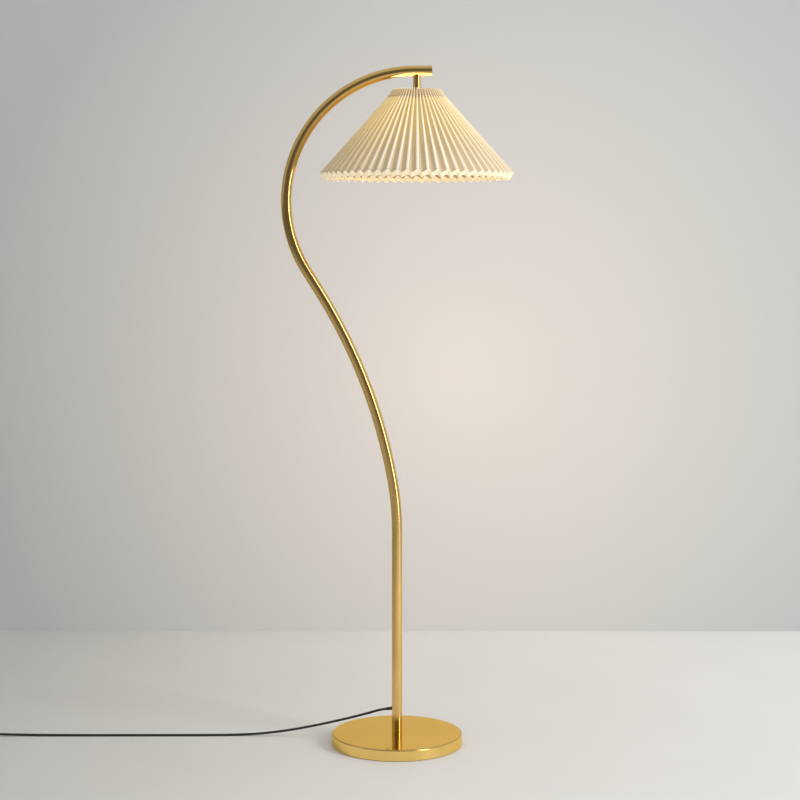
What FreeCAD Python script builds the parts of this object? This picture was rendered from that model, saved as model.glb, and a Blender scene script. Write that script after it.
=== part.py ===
"""Arc floor lamp: a round weighted base, a thin bowed tube and a pleated shade that hangs from its tip.

Millimetres, +Z up. The origin is the middle of the base's underside, on the floor and on the pole's axis.
The arm bows out towards -X and comes back over the pole, so the shade hangs at +X.
"""
import FreeCAD, Part
import math
import os
import re
import Sketcher

# Driving dimensions, in millimetres and degrees. Each one is written once, here.
SIZES = {
    # base
    "base_diameter": 280.0,
    "base_height": 25.0,
    "cover_wall": 1.6,
    "cover_lift": 1.0,
    "cover_edge": 3.0,
    "felt_thickness": 3.0,
    "felt_gap": 1.0,
    "weight_gap": 4.0,
    "bolt_diameter": 10.0,
    "bolt_hole_gap": 0.6,
    "bolt_grip": 17.0,
    "bolt_head_across": 17.0,
    "bolt_head_height": 6.4,
    "washer_radius": 12.0,
    "washer_thickness": 2.0,
    "recess_radius": 14.0,
    "recess_depth": 10.0,
    # pole and arm, drawn from one tube
    "tube_diameter": 22.0,
    "tube_wall": 1.2,
    "braze_gap": 0.03,
    "thread_gap": 0.08,
    "foot_bush_length": 30.0,
    "foot_hole_spare": 3.0,
    "joint_drop": 34.08,
    "joint_bush_length": 25.0,
    "joint_thread_diameter": 14.0,
    "arm_height": 1436.35,
    "arm_reach": 233.1,
    "low_bend_radius": 620.0,
    "low_bend_angle": 10.0,
    "high_bend_radius": 1140.0,
    "high_bend_angle": 22.0,
    "crook_radius": 272.0,
    "tip_x": 73.9,
    "cap_thickness": 3.0,
    "cap_spigot": 10.0,
    "cap_wall": 2.0,
    # stem under the tip
    "shade_x": 41.7,
    "stem_diameter": 16.0,
    "stem_wall": 1.2,
    "stem_show": 26.85,
    "stem_sink": 4.5,
    "stem_hole_radius": 6.0,
    "stem_bush_length": 12.0,
    "nipple_diameter": 10.0,
    "nipple_bore": 6.8,
    "nipple_grip": 10.0,
    "nut_across": 14.0,
    "nut_thickness": 2.5,
    # lampholder
    "shoulder_step": 2.0,
    "holder_wall": 2.0,
    "holder_neck_radius": 10.0,
    "holder_neck_height": 8.0,
    "holder_cap_height": 26.0,
    "shoulder_height": 7.0,
    "skirt_radius": 18.5,
    "skirt_height": 29.0,
    "core_wall": 2.6,
    "core_height": 10.0,
    "core_gap": 0.1,
    "core_hole_radius": 3.0,
    "core_drop": 4.0,
    "shell_radius": 14.3,
    "shell_wall": 0.7,
    "shell_height": 20.0,
    "contact_radius": 4.5,
    "contact_drop": 3.0,
    "contact_thickness": 1.0,
    "terminal_radius": 2.2,
    "terminal_height": 3.0,
    "terminal_offset": 8.5,
    # shade
    "collar_top_radius": 50.0,
    "collar_radius": 61.0,
    "collar_height": 16.0,
    "shade_radius": 203.6,
    "cone_height": 158.7,
    "lip_radius": 191.0,
    "lip_height": 12.8,
    "shade_wall": 4.0,
    "hub_rim": 7.0,
    "hub_thickness": 1.5,
    "hub_gap": 0.4,
    "turn_gap": 0.1,
    "spider_wire": 3.0,
    "spider_flat": 7.5,
    "spider_inset": 1.2,
    "spider_arms": 3.0,
    "hoop_wire": 2.5,
    "hoop_gap": 0.4,
    "ring_rim": 5.0,
    "ring_height": 8.0,
    "ring_gap": 0.06,
    "ring_notch_radius": 1.2,
    "ring_notches": 12.0,
    # bulb
    "bulb_gap": 0.4,
    "tip_thickness": 1.2,
    "insulator_height": 3.0,
    "insulator_radius": 11.0,
    "bulb_cap_radius": 13.2,
    "bulb_cap_wall": 0.4,
    "bulb_cap_height": 20.0,
    "globe_radius": 30.0,
    "globe_drop": 46.9,
    "neck_radius": 12.7,
    "glass_wall": 0.7,
    "led_radius": 5.0,
    "led_height": 34.0,
    "led_drop": 16.0,
    # cord and its way out of the pole
    "cord_diameter": 5.2,
    "floor_gap": 0.05,
    "exit_height": 75.8,
    "exit_azimuth": 140.0,
    "exit_tilt": 14.0,
    "exit_hole_radius": 4.6,
    "exit_neck_depth": 3.2,
    "bush_gap": 0.05,
    "flange_radius": 5.3,
    "flange_thickness": 1.8,
    "relief_length": 20.0,
    "relief_root_radius": 3.8,
    "relief_tip_radius": 3.0,
    "inner_bend_radius": 7.0,
    "stem_bend_radius": 12.0,
    "lead_end_drop": 20.0,
    # foot switch
    "switch_x": -935.0,
    "cord_y": 54.8,
    "switch_length": 70.0,
    "switch_width": 32.0,
    "switch_height": 20.0,
    "switch_split": 7.0,
    "switch_wall": 2.0,
    "switch_corner": 9.0,
    "switch_round": 2.5,
    "button_radius": 10.0,
    "button_gap": 0.3,
    "button_flange": 12.0,
    "button_flange_height": 2.0,
    "button_rise": 3.0,
    "button_rest_gap": 0.1,
    "spring_radius": 4.5,
    "spring_wire": 0.8,
    "spring_turns": 5.0,
    "switch_screw_x": 27.0,
    "switch_screw_radius": 1.4,
    "switch_boss_radius": 3.4,
    "switch_boss_rise": 6.0,
    "switch_head_radius": 2.6,
    "switch_head_height": 1.1,
    "strip_length": 9.0,
    "strip_width": 5.0,
    "strip_height": 1.0,
    "strip_x": 14.0,
    # coil, tie and plug
    "coil_x": -912.0,
    "coil_y": -43.2,
    "coil_radius": 30.0,
    "coil_lift": 0.9,
    "coil_room": 0.3,
    "tie_wall": 0.75,
    "tie_width": 8.0,
    "tie_gap": 0.35,
    "plug_x": -964.0,
    "plug_y": -120.7,
    "plug_axis_height": 7.0,
    "plug_length": 36.0,
    "plug_width": 35.0,
    "plug_neck_width": 17.0,
    "plug_height": 13.7,
    "plug_round": 2.2,
    "pin_diameter": 4.0,
    "pin_length": 19.0,
    "pin_pitch": 18.6,
    "pin_chamfer": 0.6,
    "plug_relief_length": 22.0,
    "plug_relief_radius": 4.6,
}

# Places worked out from the driving dimensions. A level counts up from the floor.
PLACES = {
    "tube_radius": "tube_diameter / 2",
    "tube_bore": "tube_diameter / 2 - tube_wall",
    "bush_radius": "tube_bore - braze_gap",
    "recess_top": "felt_thickness + recess_depth",
    "stem_radius": "stem_diameter / 2",
    "shade_top": "arm_height - tube_radius - stem_show",
    "stem_bottom": "shade_top - stem_sink",
    "holder_top": "stem_bottom - nut_thickness",
    "holder_radius": "skirt_radius + shoulder_step",
    "core_radius": "skirt_radius - core_wall",
    "hub_radius": "skirt_radius + hub_rim",
    "ring_radius": "skirt_radius + ring_rim",
    "cap_bottom": "holder_top - holder_cap_height",
    "shoulder_bottom": "cap_bottom - shoulder_height",
    "skirt_bottom": "shoulder_bottom - skirt_height",
    "core_top": "cap_bottom - core_drop",
    "core_bottom": "core_top - core_height",
    "contact_bottom": "core_bottom - contact_drop",
    "collar_crease": "shade_top - collar_height",
    "rim_crease": "collar_crease - cone_height",
    "rim_bottom": "rim_crease - lip_height",
    "hub_top": "shoulder_bottom - turn_gap",
    "hub_bottom": "hub_top - hub_thickness",
    "ring_top": "hub_bottom - turn_gap",
    "hoop_radius": "collar_radius - shade_wall * 1.35 - hoop_gap - hoop_wire / 2",
    "bulb_top": "contact_bottom - bulb_gap",
    "insulator_top": "bulb_top - tip_thickness",
    "bulb_cap_top": "insulator_top - insulator_height",
    "bulb_cap_bottom": "bulb_cap_top - bulb_cap_height",
    "globe_centre": "bulb_cap_bottom - globe_drop",
    "cord_radius": "cord_diameter / 2",
    "switch_front": "switch_x + switch_length / 2",
    "switch_back": "switch_x - switch_length / 2",
    "button_seat": "switch_height - switch_wall - button_rest_gap",
    "coil_floor": "coil_lift + cord_diameter / 2",
    "plug_face": "plug_x - plug_length",
    "plug_lead_x": "plug_x + plug_relief_length",
}

# The cord's way over the floor, chosen by hand: from the pole to the foot switch, from the switch
# to the coil, and from the coil to the plug. Ends that meet a piece are worked out from that piece.
POLE_TO_SWITCH = [
    (-35.2, 29.5, 67.1),
    (-62.0, 37.0, 57.2),
    (-110.0, 43.5, 43.0),
    (-170.0, 48.0, 28.2),
    (-235.0, 53.0, 14.4),
    (-300.0, 57.3, 5.4),
    (-352.0, 58.3, 2.65),
    (-425.0, 55.3, 2.65),
    (-872.0, 54.8, 2.65),
]
SWITCH_TO_COIL = [
    (-986.5, 55.2, 2.9),
    (-1004.0, 54.2, 2.65),
    (-1019.8, 42.3, 2.65),
    (-1026.3, 22.2, 2.65),
    (-1019.8, 2.0, 2.65),
    (-1002.6, -10.4, 2.65),
    (-972.0, -11.6, 2.8),
    (-942.0, -11.1, 3.1),
]
COIL_TO_PLUG = [
    (-882.5, -69.2, 8.4),
    (-887.0, -95.2, 4.8),
    (-902.0, -113.2, 3.0),
    (-924.0, -120.2, 4.6),
]
COIL_LAYERS = 2
COIL_RINGS = 2
# A PartDesign sketch names the X axis -1 and the Y axis -2, and its origin is point 1 of the X axis.
X_AXIS = -1
Y_AXIS = -2
ORIGIN_POINT = (-1, 1)
TURN_TO_X = FreeCAD.Rotation(FreeCAD.Vector(0, 1, 0), 90)

doc = FreeCAD.newDocument("arc_floor_lamp")


def fill_sheet():
    """Put the driving dimensions in the spreadsheet and the worked-out places in a set of variables."""
    sheet = doc.addObject("Spreadsheet::Sheet", "Sizes")
    for row, (alias, number) in enumerate(SIZES.items(), 1):
        sheet.set(f"A{row}", alias)
        sheet.set(f"B{row}", str(number))
        sheet.setAlias(f"B{row}", alias)
    places = doc.addObject("App::VarSet", "Places")
    for name, expression in PLACES.items():
        places.addProperty("App::PropertyFloat", name)
        places.setExpression(name, bound(expression))
    doc.recompute()
    # the joint lies in the straight pole, a set drop below the first bend
    places.addProperty("App::PropertyFloat", "joint_height")
    places.joint_height = arm_line()["bend_start"][1] - size("joint_drop")


def bound(expression):
    """Turn plain names into references to the spreadsheet and the set of places."""
    def owner(match):
        word = match.group(0)
        return f"Sizes.{word}" if word in SIZES else f"Places.{word}"
    return re.sub(r"[a-z][a-z_]*", owner, expression)


def size(name):
    """A driving dimension or a place, as a number."""
    holder = doc.Sizes if name in SIZES else doc.Places
    return float(getattr(holder, name))


def bind(item, **expressions):
    """Bind properties of a document object; x, y and z are its place."""
    for name, expression in expressions.items():
        path = f"Placement.Base.{name}" if name in ("x", "y", "z") else name
        item.setExpression(path, bound(expression))
    return item


def rod(label, radius, height, turn=None, **place):
    """A cylinder, along +Z unless turned."""
    item = doc.addObject("Part::Cylinder", label)
    if turn:
        item.Placement.Rotation = turn
    return bind(item, Radius=radius, Height=height, **place)


def block(label, length, width, height, **place):
    """A box with its corner at the given place."""
    item = doc.addObject("Part::Box", label)
    return bind(item, Length=length, Width=width, Height=height, **place)


def cut(label, base, *tools):
    """The base less every tool."""
    tool = tools[0] if len(tools) == 1 else fuse(f"{label}_tools", *tools)
    item = doc.addObject("Part::Cut", label)
    item.Base = base
    item.Tool = tool
    return item


def fuse(label, *pieces):
    """Several shapes as one object."""
    item = doc.addObject("Part::MultiFuse", label)
    item.Shapes = list(pieces)
    return item


def solid(label, shape):
    """An object whose shape is made directly."""
    item = doc.addObject("Part::Feature", label)
    item.Shape = shape
    return item


def rounded(label, base, radius, chosen):
    """Round the edges of the base that the test picks."""
    doc.recompute()
    item = doc.addObject("Part::Fillet", label)
    item.Base = base
    item.Edges = [(i, radius, radius) for i, edge in enumerate(base.Shape.Edges, 1) if chosen(edge)]
    return item


def upright(edge):
    """Whether an edge is a vertical line."""
    ends = edge.Vertexes[0].Point - edge.Vertexes[-1].Point
    return math.hypot(ends.x, ends.y) < 0.01 < abs(ends.z)


def edge_at(level):
    """A test for edges that lie flat at one level."""
    return lambda edge: all(abs(v.Z - level) < 0.01 for v in edge.Vertexes)


def new_sketch(body, name, role):
    """A sketch on one of the body's own origin planes."""
    plane = [item for item in body.Origin.OriginFeatures if item.Role == role][0]
    sketch = body.newObject("Sketcher::SketchObject", name)
    sketch.AttachmentSupport = [(plane, "")]
    sketch.MapMode = "FlatFace"
    return sketch


def constrain(sketch, kind, *where_value, to):
    """Add a dimension to a sketch and bind it."""
    index = sketch.addConstraint(Sketcher.Constraint(kind, *where_value))
    sketch.setExpression(f"Constraints[{index}]", bound(to))


def outline(sketch, corners):
    """Draw a closed outline of straight lines, and bind every corner across and up."""
    count = len(corners)
    starts = []
    for i in range(count):
        angle = 2 * math.pi * i / count
        starts.append(FreeCAD.Vector(50 + 9 * math.cos(angle), 50 + 9 * math.sin(angle), 0))
    for i in range(count):
        sketch.addGeometry(Part.LineSegment(starts[i], starts[(i + 1) % count]))
    for i in range(count):
        sketch.addConstraint(Sketcher.Constraint("Coincident", i, 2, (i + 1) % count, 1))
    for i, (across, up) in enumerate(corners):
        if across == "0":
            sketch.addConstraint(Sketcher.Constraint("PointOnObject", i, 1, Y_AXIS))
        else:
            constrain(sketch, "DistanceX", *ORIGIN_POINT, i, 1, starts[i].x, to=across)
        if up == "0":
            sketch.addConstraint(Sketcher.Constraint("PointOnObject", i, 1, X_AXIS))
        else:
            constrain(sketch, "DistanceY", *ORIGIN_POINT, i, 1, starts[i].y, to=up)


def turned(label, corners, turn=None, **place):
    """A body turned about its own Z axis from a (radius, level) outline."""
    body = doc.addObject("PartDesign::Body", label)
    sketch = new_sketch(body, f"{label}_outline", "XZ_Plane")
    outline(sketch, corners)
    revolution = body.newObject("PartDesign::Revolution", f"{label}_turned")
    revolution.Profile = sketch
    revolution.ReferenceAxis = (sketch, ["V_Axis"])
    revolution.Angle = 360
    if turn:
        body.Placement.Rotation = turn
    return bind(body, **place)


def collar(label, inner, outer, low, high, **place):
    """A plain ring or sleeve."""
    return turned(label, [(inner, low), (outer, low), (outer, high), (inner, high)], **place)


def hexagon(label, across, height, **place):
    """A six-sided bar, sized across its flats."""
    item = doc.addObject("Part::Prism", label)
    item.Polygon = 6
    return bind(item, Circumradius=f"({across}) / 1.7320508", Height=height, **place)


def point(x, y, z):
    """A point as a vector."""
    return FreeCAD.Vector(x, y, z)


# ---------------------------------------------------------------- base


def make_base():
    """Felt, iron weight, thin brass cover, and the bolt that pulls them up against the pole."""
    turned("base_felt", [
        ("0", "0"), ("base_diameter / 2 - cover_wall - felt_gap", "0"),
        ("base_diameter / 2 - cover_wall - felt_gap", "felt_thickness"), ("0", "felt_thickness")])
    bolt_hole = "bolt_diameter / 2 + bolt_hole_gap"
    weight_edge = "base_diameter / 2 - cover_wall - weight_gap"
    turned("base_weight", [
        ("recess_radius", "felt_thickness"), (weight_edge, "felt_thickness"),
        (weight_edge, "base_height - cover_wall"), (bolt_hole, "base_height - cover_wall"),
        (bolt_hole, "recess_top"), ("recess_radius", "recess_top")])
    cover = turned("base_cover", [
        (bolt_hole, "base_height - cover_wall"),
        ("base_diameter / 2 - cover_wall", "base_height - cover_wall"),
        ("base_diameter / 2 - cover_wall", "cover_lift"), ("base_diameter / 2", "cover_lift"),
        ("base_diameter / 2", "base_height"), (bolt_hole, "base_height")])
    round_cover_edge(cover)
    shank = rod("bolt_shank", "bolt_diameter / 2 - thread_gap",
                "base_height + bolt_grip - recess_top + washer_thickness",
                z="recess_top - washer_thickness")
    head = hexagon("bolt_head", "bolt_head_across", "bolt_head_height",
                   z="recess_top - washer_thickness - bolt_head_height")
    fuse("base_bolt", shank, head)
    collar("base_washer", "bolt_diameter / 2 + thread_gap", "washer_radius",
           "recess_top - washer_thickness", "recess_top")


def round_cover_edge(cover):
    """Round the cover's top rim."""
    doc.recompute()
    feature = cover.Tip
    rim = size("base_diameter") / 2
    names = []
    for i, edge in enumerate(feature.Shape.Edges, 1):
        circle = hasattr(edge.Curve, "Radius")
        if circle and abs(edge.Curve.Radius - rim) < 0.01 and edge_at(size("base_height"))(edge):
            names.append(f"Edge{i}")
    fillet = cover.newObject("PartDesign::Fillet", "cover_rim")
    fillet.Base = (feature, names)
    bind(fillet, Radius="cover_edge")


# ---------------------------------------------------------------- pole and arm


def exit_frame():
    """Where the cord's axis meets the pole's axis, and the direction in which the cord leaves."""
    turn = math.radians(size("exit_azimuth"))
    tilt = math.radians(size("exit_tilt"))
    away = point(math.cos(tilt) * math.cos(turn), math.cos(tilt) * math.sin(turn), -math.sin(tilt))
    start = point(0, 0, size("exit_height") + size("tube_radius") * math.tan(tilt))
    return start, away


def exit_rotation():
    """The turn from +Z to the cord's exit direction."""
    return FreeCAD.Rotation(point(0, 0, 1), exit_frame()[1])


def make_pole():
    """The straight lower tube, with the hole for the cord, and the bush that the base bolt enters."""
    start = exit_frame()[0]
    length = "joint_height - base_height"
    outer = rod("pole_outer", "tube_radius", length, z="base_height")
    bore = rod("pole_bore", "tube_bore", length, z="base_height")
    hole = rod("pole_cord_hole", "exit_hole_radius", "tube_diameter", turn=exit_rotation())
    hole.Placement.Base = start
    cut("pole_tube", outer, bore, hole)
    thread = "bolt_diameter / 2"
    hole_top = "base_height + bolt_grip + foot_hole_spare"
    turned("foot_bush", [
        (thread, "base_height"), ("bush_radius", "base_height"),
        ("bush_radius", "base_height + foot_bush_length"), ("0", "base_height + foot_bush_length"),
        ("0", hole_top), (thread, hole_top)])


def make_joint():
    """The screwed joint where the pole and the arm part for packing: a socket below, a stud above."""
    thread = "joint_thread_diameter / 2"
    low = "joint_height - joint_bush_length"
    collar("joint_socket", f"{thread} + thread_gap", "bush_radius", low, "joint_height")
    bore = "nipple_bore / 2"
    turned("joint_stud", [
        (bore, f"{low} + cap_thickness"), (thread, f"{low} + cap_thickness"), (thread, "joint_height"),
        ("bush_radius", "joint_height"), ("bush_radius", "joint_height + joint_bush_length"),
        (bore, "joint_height + joint_bush_length")])


def arm_line():
    """Corners and centres of the arm's middle line, as (x, level) pairs, with its full lean in radians."""
    low_radius = size("low_bend_radius")
    high_radius = size("high_bend_radius")
    crook = size("crook_radius")
    first = math.radians(size("low_bend_angle"))
    lean = first + math.radians(size("high_bend_angle"))
    shift = low_radius * (1 - math.cos(first)) + high_radius * (math.cos(first) - math.cos(lean))
    rise = low_radius * math.sin(first) + high_radius * (math.sin(lean) - math.sin(first))
    crook_centre = (crook - size("arm_reach"), size("arm_height") - crook)
    crook_start = (crook_centre[0] - crook * math.cos(lean), crook_centre[1] - crook * math.sin(lean))
    straight = (-shift - crook_start[0]) / math.sin(lean)
    straight_start = (-shift, crook_start[1] - straight * math.cos(lean))
    bend_start = (0.0, straight_start[1] - rise)
    low_centre = (-low_radius, bend_start[1])
    reach = low_radius - high_radius
    high_centre = (low_centre[0] + reach * math.cos(first), low_centre[1] + reach * math.sin(first))
    return {
        "first": first, "lean": lean, "bend_start": bend_start, "low_centre": low_centre,
        "high_centre": high_centre, "straight_start": straight_start, "crook_start": crook_start,
        "crook_centre": crook_centre,
    }


def arc_in_sketch(centre, radius, start, end):
    """A circular arc in a sketch, from its start angle to its end angle."""
    circle = Part.Circle(point(*centre, 0), point(0, 0, 1), radius)
    return Part.ArcOfCircle(circle, start, end)


def make_arm():
    """One tube: up, out to the left in two easy bends, over in the crook and level to the tip."""
    body = doc.addObject("PartDesign::Body", "arm_tube")
    path = new_sketch(body, "arm_path", "XZ_Plane")
    line = arm_line()
    crook = size("crook_radius")
    tip = size("tip_x") - size("cap_thickness")
    flat = (line["crook_centre"][0], size("arm_height"))
    foot = path.addGeometry(Part.LineSegment(
        point(0, size("joint_height"), 0), point(*line["bend_start"], 0)))
    low = path.addGeometry(arc_in_sketch(line["low_centre"], size("low_bend_radius"), 0, line["first"]))
    high = path.addGeometry(arc_in_sketch(
        line["high_centre"], size("high_bend_radius"), line["first"], line["lean"]))
    straight = path.addGeometry(Part.LineSegment(
        point(*line["straight_start"], 0), point(*line["crook_start"], 0)))
    over = path.addGeometry(arc_in_sketch(
        line["crook_centre"], crook, math.pi / 2, math.pi + line["lean"]))
    end = path.addGeometry(Part.LineSegment(point(*flat, 0), point(tip, flat[1], 0)))
    path.addConstraint(Sketcher.Constraint("PointOnObject", foot, 1, Y_AXIS))
    path.addConstraint(Sketcher.Constraint("Vertical", foot))
    path.addConstraint(Sketcher.Constraint("Horizontal", end))
    for one, one_end, other, other_end in [
            (foot, 2, low, 1), (low, 2, high, 1), (high, 2, straight, 1), (straight, 2, over, 2),
            (over, 1, end, 1)]:
        path.addConstraint(Sketcher.Constraint("Tangent", one, one_end, other, other_end))
    constrain(path, "DistanceY", *ORIGIN_POINT, foot, 1, size("joint_height"), to="joint_height")
    constrain(path, "Radius", low, size("low_bend_radius"), to="low_bend_radius")
    constrain(path, "Radius", high, size("high_bend_radius"), to="high_bend_radius")
    constrain(path, "Radius", over, crook, to="crook_radius")
    constrain(path, "Angle", low, line["first"], to="low_bend_angle")
    constrain(path, "Angle", high, line["lean"] - line["first"], to="high_bend_angle")
    constrain(path, "DistanceY", *ORIGIN_POINT, end, 2, flat[1], to="arm_height")
    constrain(path, "DistanceX", *ORIGIN_POINT, end, 2, tip, to="tip_x - cap_thickness")
    constrain(path, "DistanceX", *ORIGIN_POINT, over, 3, flat[0], to="crook_radius - arm_reach")
    section = new_sketch(body, "arm_section", "XY_Plane")
    section.setExpression("AttachmentOffset.Base.z", bound("joint_height"))
    for name in ("tube_radius", "tube_bore"):
        circle = section.addGeometry(Part.Circle(point(0, 0, 0), point(0, 0, 1), size(name)))
        section.addConstraint(Sketcher.Constraint("Coincident", circle, 3, *ORIGIN_POINT))
        constrain(section, "Radius", circle, size(name), to=name)
    pipe = body.newObject("PartDesign::AdditivePipe", "arm_sweep")
    pipe.Profile = section
    pipe.Spine = path
    cut_stem_hole(body)


def cut_stem_hole(body):
    """Cut the hole in the arm's underside, over the stem, and check that it cut."""
    sketch = new_sketch(body, "stem_hole_place", "XY_Plane")
    sketch.setExpression("AttachmentOffset.Base.z", bound("arm_height"))
    centre = point(size("shade_x"), 0, 0)
    circle = sketch.addGeometry(Part.Circle(centre, point(0, 0, 1), size("stem_hole_radius")))
    sketch.addConstraint(Sketcher.Constraint("PointOnObject", circle, 3, X_AXIS))
    constrain(sketch, "DistanceX", *ORIGIN_POINT, circle, 3, centre.x, to="shade_x")
    constrain(sketch, "Radius", circle, size("stem_hole_radius"), to="stem_hole_radius")
    doc.recompute()
    before = body.Shape.Volume
    pocket = body.newObject("PartDesign::Pocket", "stem_hole")
    pocket.Profile = sketch
    pocket.Type = "Length"
    bind(pocket, Length="tube_diameter")
    doc.recompute()
    if body.Shape.Volume > before - 1:
        raise RuntimeError("the stem hole cut nothing from the arm")


def make_arm_cap():
    """The plug that closes the arm's tip, turned about the tip's axis."""
    spigot = "tube_bore - braze_gap"
    turned("arm_cap", [
        ("0", "0"), ("tube_bore - cap_wall", "0"), ("tube_bore - cap_wall", "0 - cap_spigot"),
        (spigot, "0 - cap_spigot"), (spigot, "0"), ("tube_radius", "0"),
        ("tube_radius", "cap_thickness - 0.6"), ("tube_radius - 0.6", "cap_thickness"),
        ("0", "cap_thickness")],
        turn=TURN_TO_X, x="tip_x - cap_thickness", z="arm_height")


def make_stem():
    """The short drop tube, saddle-cut to the arm, with its threaded bush, hollow nipple and lock nut."""
    height = "arm_height - stem_bottom"
    outer = rod("stem_outer", "stem_radius", height, x="shade_x", z="stem_bottom")
    bore = rod("stem_bore", "stem_radius - stem_wall", height, x="shade_x", z="stem_bottom")
    saddle = rod("stem_saddle", "tube_radius + braze_gap", "stem_diameter * 2",
                 turn=TURN_TO_X, x="shade_x - stem_diameter", z="arm_height")
    cut("drop_stem", outer, bore, saddle)
    thread = "nipple_diameter / 2"
    collar("stem_bush", thread, "stem_radius - stem_wall - braze_gap",
           "stem_bottom", "stem_bottom + stem_bush_length", x="shade_x")
    collar("stem_nipple", "nipple_bore / 2", f"{thread} - thread_gap",
           "holder_top - nipple_grip", "stem_bottom + nipple_grip", x="shade_x")
    nut = hexagon("nut_blank", "nut_across", "nut_thickness", x="shade_x", z="holder_top")
    nut_bore = rod("nut_bore", thread, "nut_thickness", x="shade_x", z="holder_top")
    cut("nipple_nut", nut, nut_bore)


# ---------------------------------------------------------------- lampholder and bulb


def make_holder():
    """The lampholder: domed cap, threaded body, ceramic core, screw shell, contact and terminals."""
    thread = "nipple_diameter / 2"
    neck_bottom = "holder_top - holder_neck_height"
    inside = "holder_radius - holder_wall"
    turned("holder_cap", [
        (thread, "holder_top"), ("holder_neck_radius", "holder_top"),
        ("holder_neck_radius + 0.5", neck_bottom), ("holder_radius - 1", f"{neck_bottom} - 8"),
        ("holder_radius", "cap_bottom"), (inside, "cap_bottom"),
        (f"{inside} - 1", f"{neck_bottom} - 9"), ("holder_neck_radius - 1", f"{neck_bottom} - holder_wall"),
        (thread, f"{neck_bottom} - holder_wall")], x="shade_x")
    core_room = "core_radius + core_gap"
    shell_room = "shell_radius + core_gap"
    turned("holder_body", [
        (shell_room, "skirt_bottom"), ("skirt_radius", "skirt_bottom"),
        ("skirt_radius", "shoulder_bottom"), ("holder_radius", "shoulder_bottom"),
        ("holder_radius", "cap_bottom"), (core_room, "cap_bottom"), (core_room, "core_bottom"),
        (shell_room, "core_bottom")], x="shade_x")
    collar("holder_core", "core_hole_radius", "core_radius", "core_bottom", "core_top", x="shade_x")
    collar("screw_shell", "shell_radius - shell_wall", "shell_radius",
           "core_bottom - shell_height", "core_bottom", x="shade_x")
    stalk = "core_hole_radius - core_gap"
    turned("centre_contact", [
        ("0", "contact_bottom"), ("contact_radius", "contact_bottom"),
        ("contact_radius", "contact_bottom + contact_thickness"),
        (stalk, "contact_bottom + contact_thickness"), (stalk, "core_top"), ("0", "core_top")],
        x="shade_x")
    screws = [rod(f"terminal_{side}", "terminal_radius", "terminal_height",
                  x=f"shade_x {sign} terminal_offset", z="core_top")
              for side, sign in (("left", "-"), ("right", "+"))]
    fuse("terminal_screws", *screws)


def globe_shape(globe, neck, root, top):
    """A solid bulb outline: a ball, straight sides up to the neck's root, and the neck up to its top."""
    low = size("globe_centre")
    x = size("shade_x")
    span = math.hypot(neck, root - low)
    side = math.atan2(root - low, neck) - math.acos(globe / span)
    touch = point(x + globe * math.cos(side), 0, low + globe * math.sin(side))
    bottom = point(x, 0, low - globe)
    middle_angle = (side - math.pi / 2) / 2
    middle = point(x + globe * math.cos(middle_angle), 0, low + globe * math.sin(middle_angle))
    top_centre = point(x, 0, top)
    top_edge = point(x + neck, 0, top)
    neck_root = point(x + neck, 0, root)
    edges = [
        Part.LineSegment(bottom, top_centre).toShape(), Part.LineSegment(top_centre, top_edge).toShape(),
        Part.LineSegment(top_edge, neck_root).toShape(), Part.LineSegment(neck_root, touch).toShape(),
        Part.Arc(touch, middle, bottom).toShape()]
    return Part.Face(Part.Wire(edges)).revolve(point(x, 0, 0), point(0, 0, 1), 360)


def make_bulb():
    """A plain screw bulb: tip, insulator, cap, glass, and the lit column inside it."""
    collar_place = {"x": "shade_x"}
    turned("bulb_tip", [
        ("0", "insulator_top"), ("contact_radius", "insulator_top"), ("contact_radius - 0.6", "bulb_top"),
        ("0", "bulb_top")], **collar_place)
    turned("bulb_insulator", [
        ("0", "bulb_cap_top"), ("insulator_radius", "bulb_cap_top"), ("contact_radius", "insulator_top"),
        ("0", "insulator_top")], **collar_place)
    inside = "bulb_cap_radius - bulb_cap_wall"
    turned("bulb_cap", [
        (inside, "bulb_cap_bottom"), ("bulb_cap_radius", "bulb_cap_bottom"),
        ("bulb_cap_radius", "bulb_cap_top - 1"), ("insulator_radius", "bulb_cap_top"),
        ("insulator_radius - 1", "bulb_cap_top"), (inside, "bulb_cap_top - 1.6")], **collar_place)
    root = size("bulb_cap_bottom")
    top = root + size("insulator_height")
    wall = size("glass_wall")
    glass = globe_shape(size("globe_radius"), size("neck_radius"), root, top)
    hollow = globe_shape(size("globe_radius") - wall, size("neck_radius") - wall, root, top)
    solid("bulb_glass", glass.cut(hollow))
    rod("bulb_light", "led_radius", "led_height", x="shade_x",
        z="bulb_cap_bottom - led_drop - led_height")


# ---------------------------------------------------------------- shade and its fittings


def make_shade():
    """The pleated shade as a plain shell: collar, cone, and the lip folded inwards below the rim."""
    slant = "shade_wall * 1.35"
    turned("shade", [
        ("collar_top_radius", "shade_top"), ("collar_radius", "collar_crease"),
        ("shade_radius", "rim_crease"), ("lip_radius", "rim_bottom"),
        ("lip_radius - shade_wall * 0.71", "rim_bottom + shade_wall * 0.70"),
        ("shade_radius - shade_wall * 1.45", "rim_crease"),
        (f"collar_radius - {slant}", "collar_crease"),
        ("collar_top_radius - shade_wall * 1.2", "shade_top")], x="shade_x")


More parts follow.
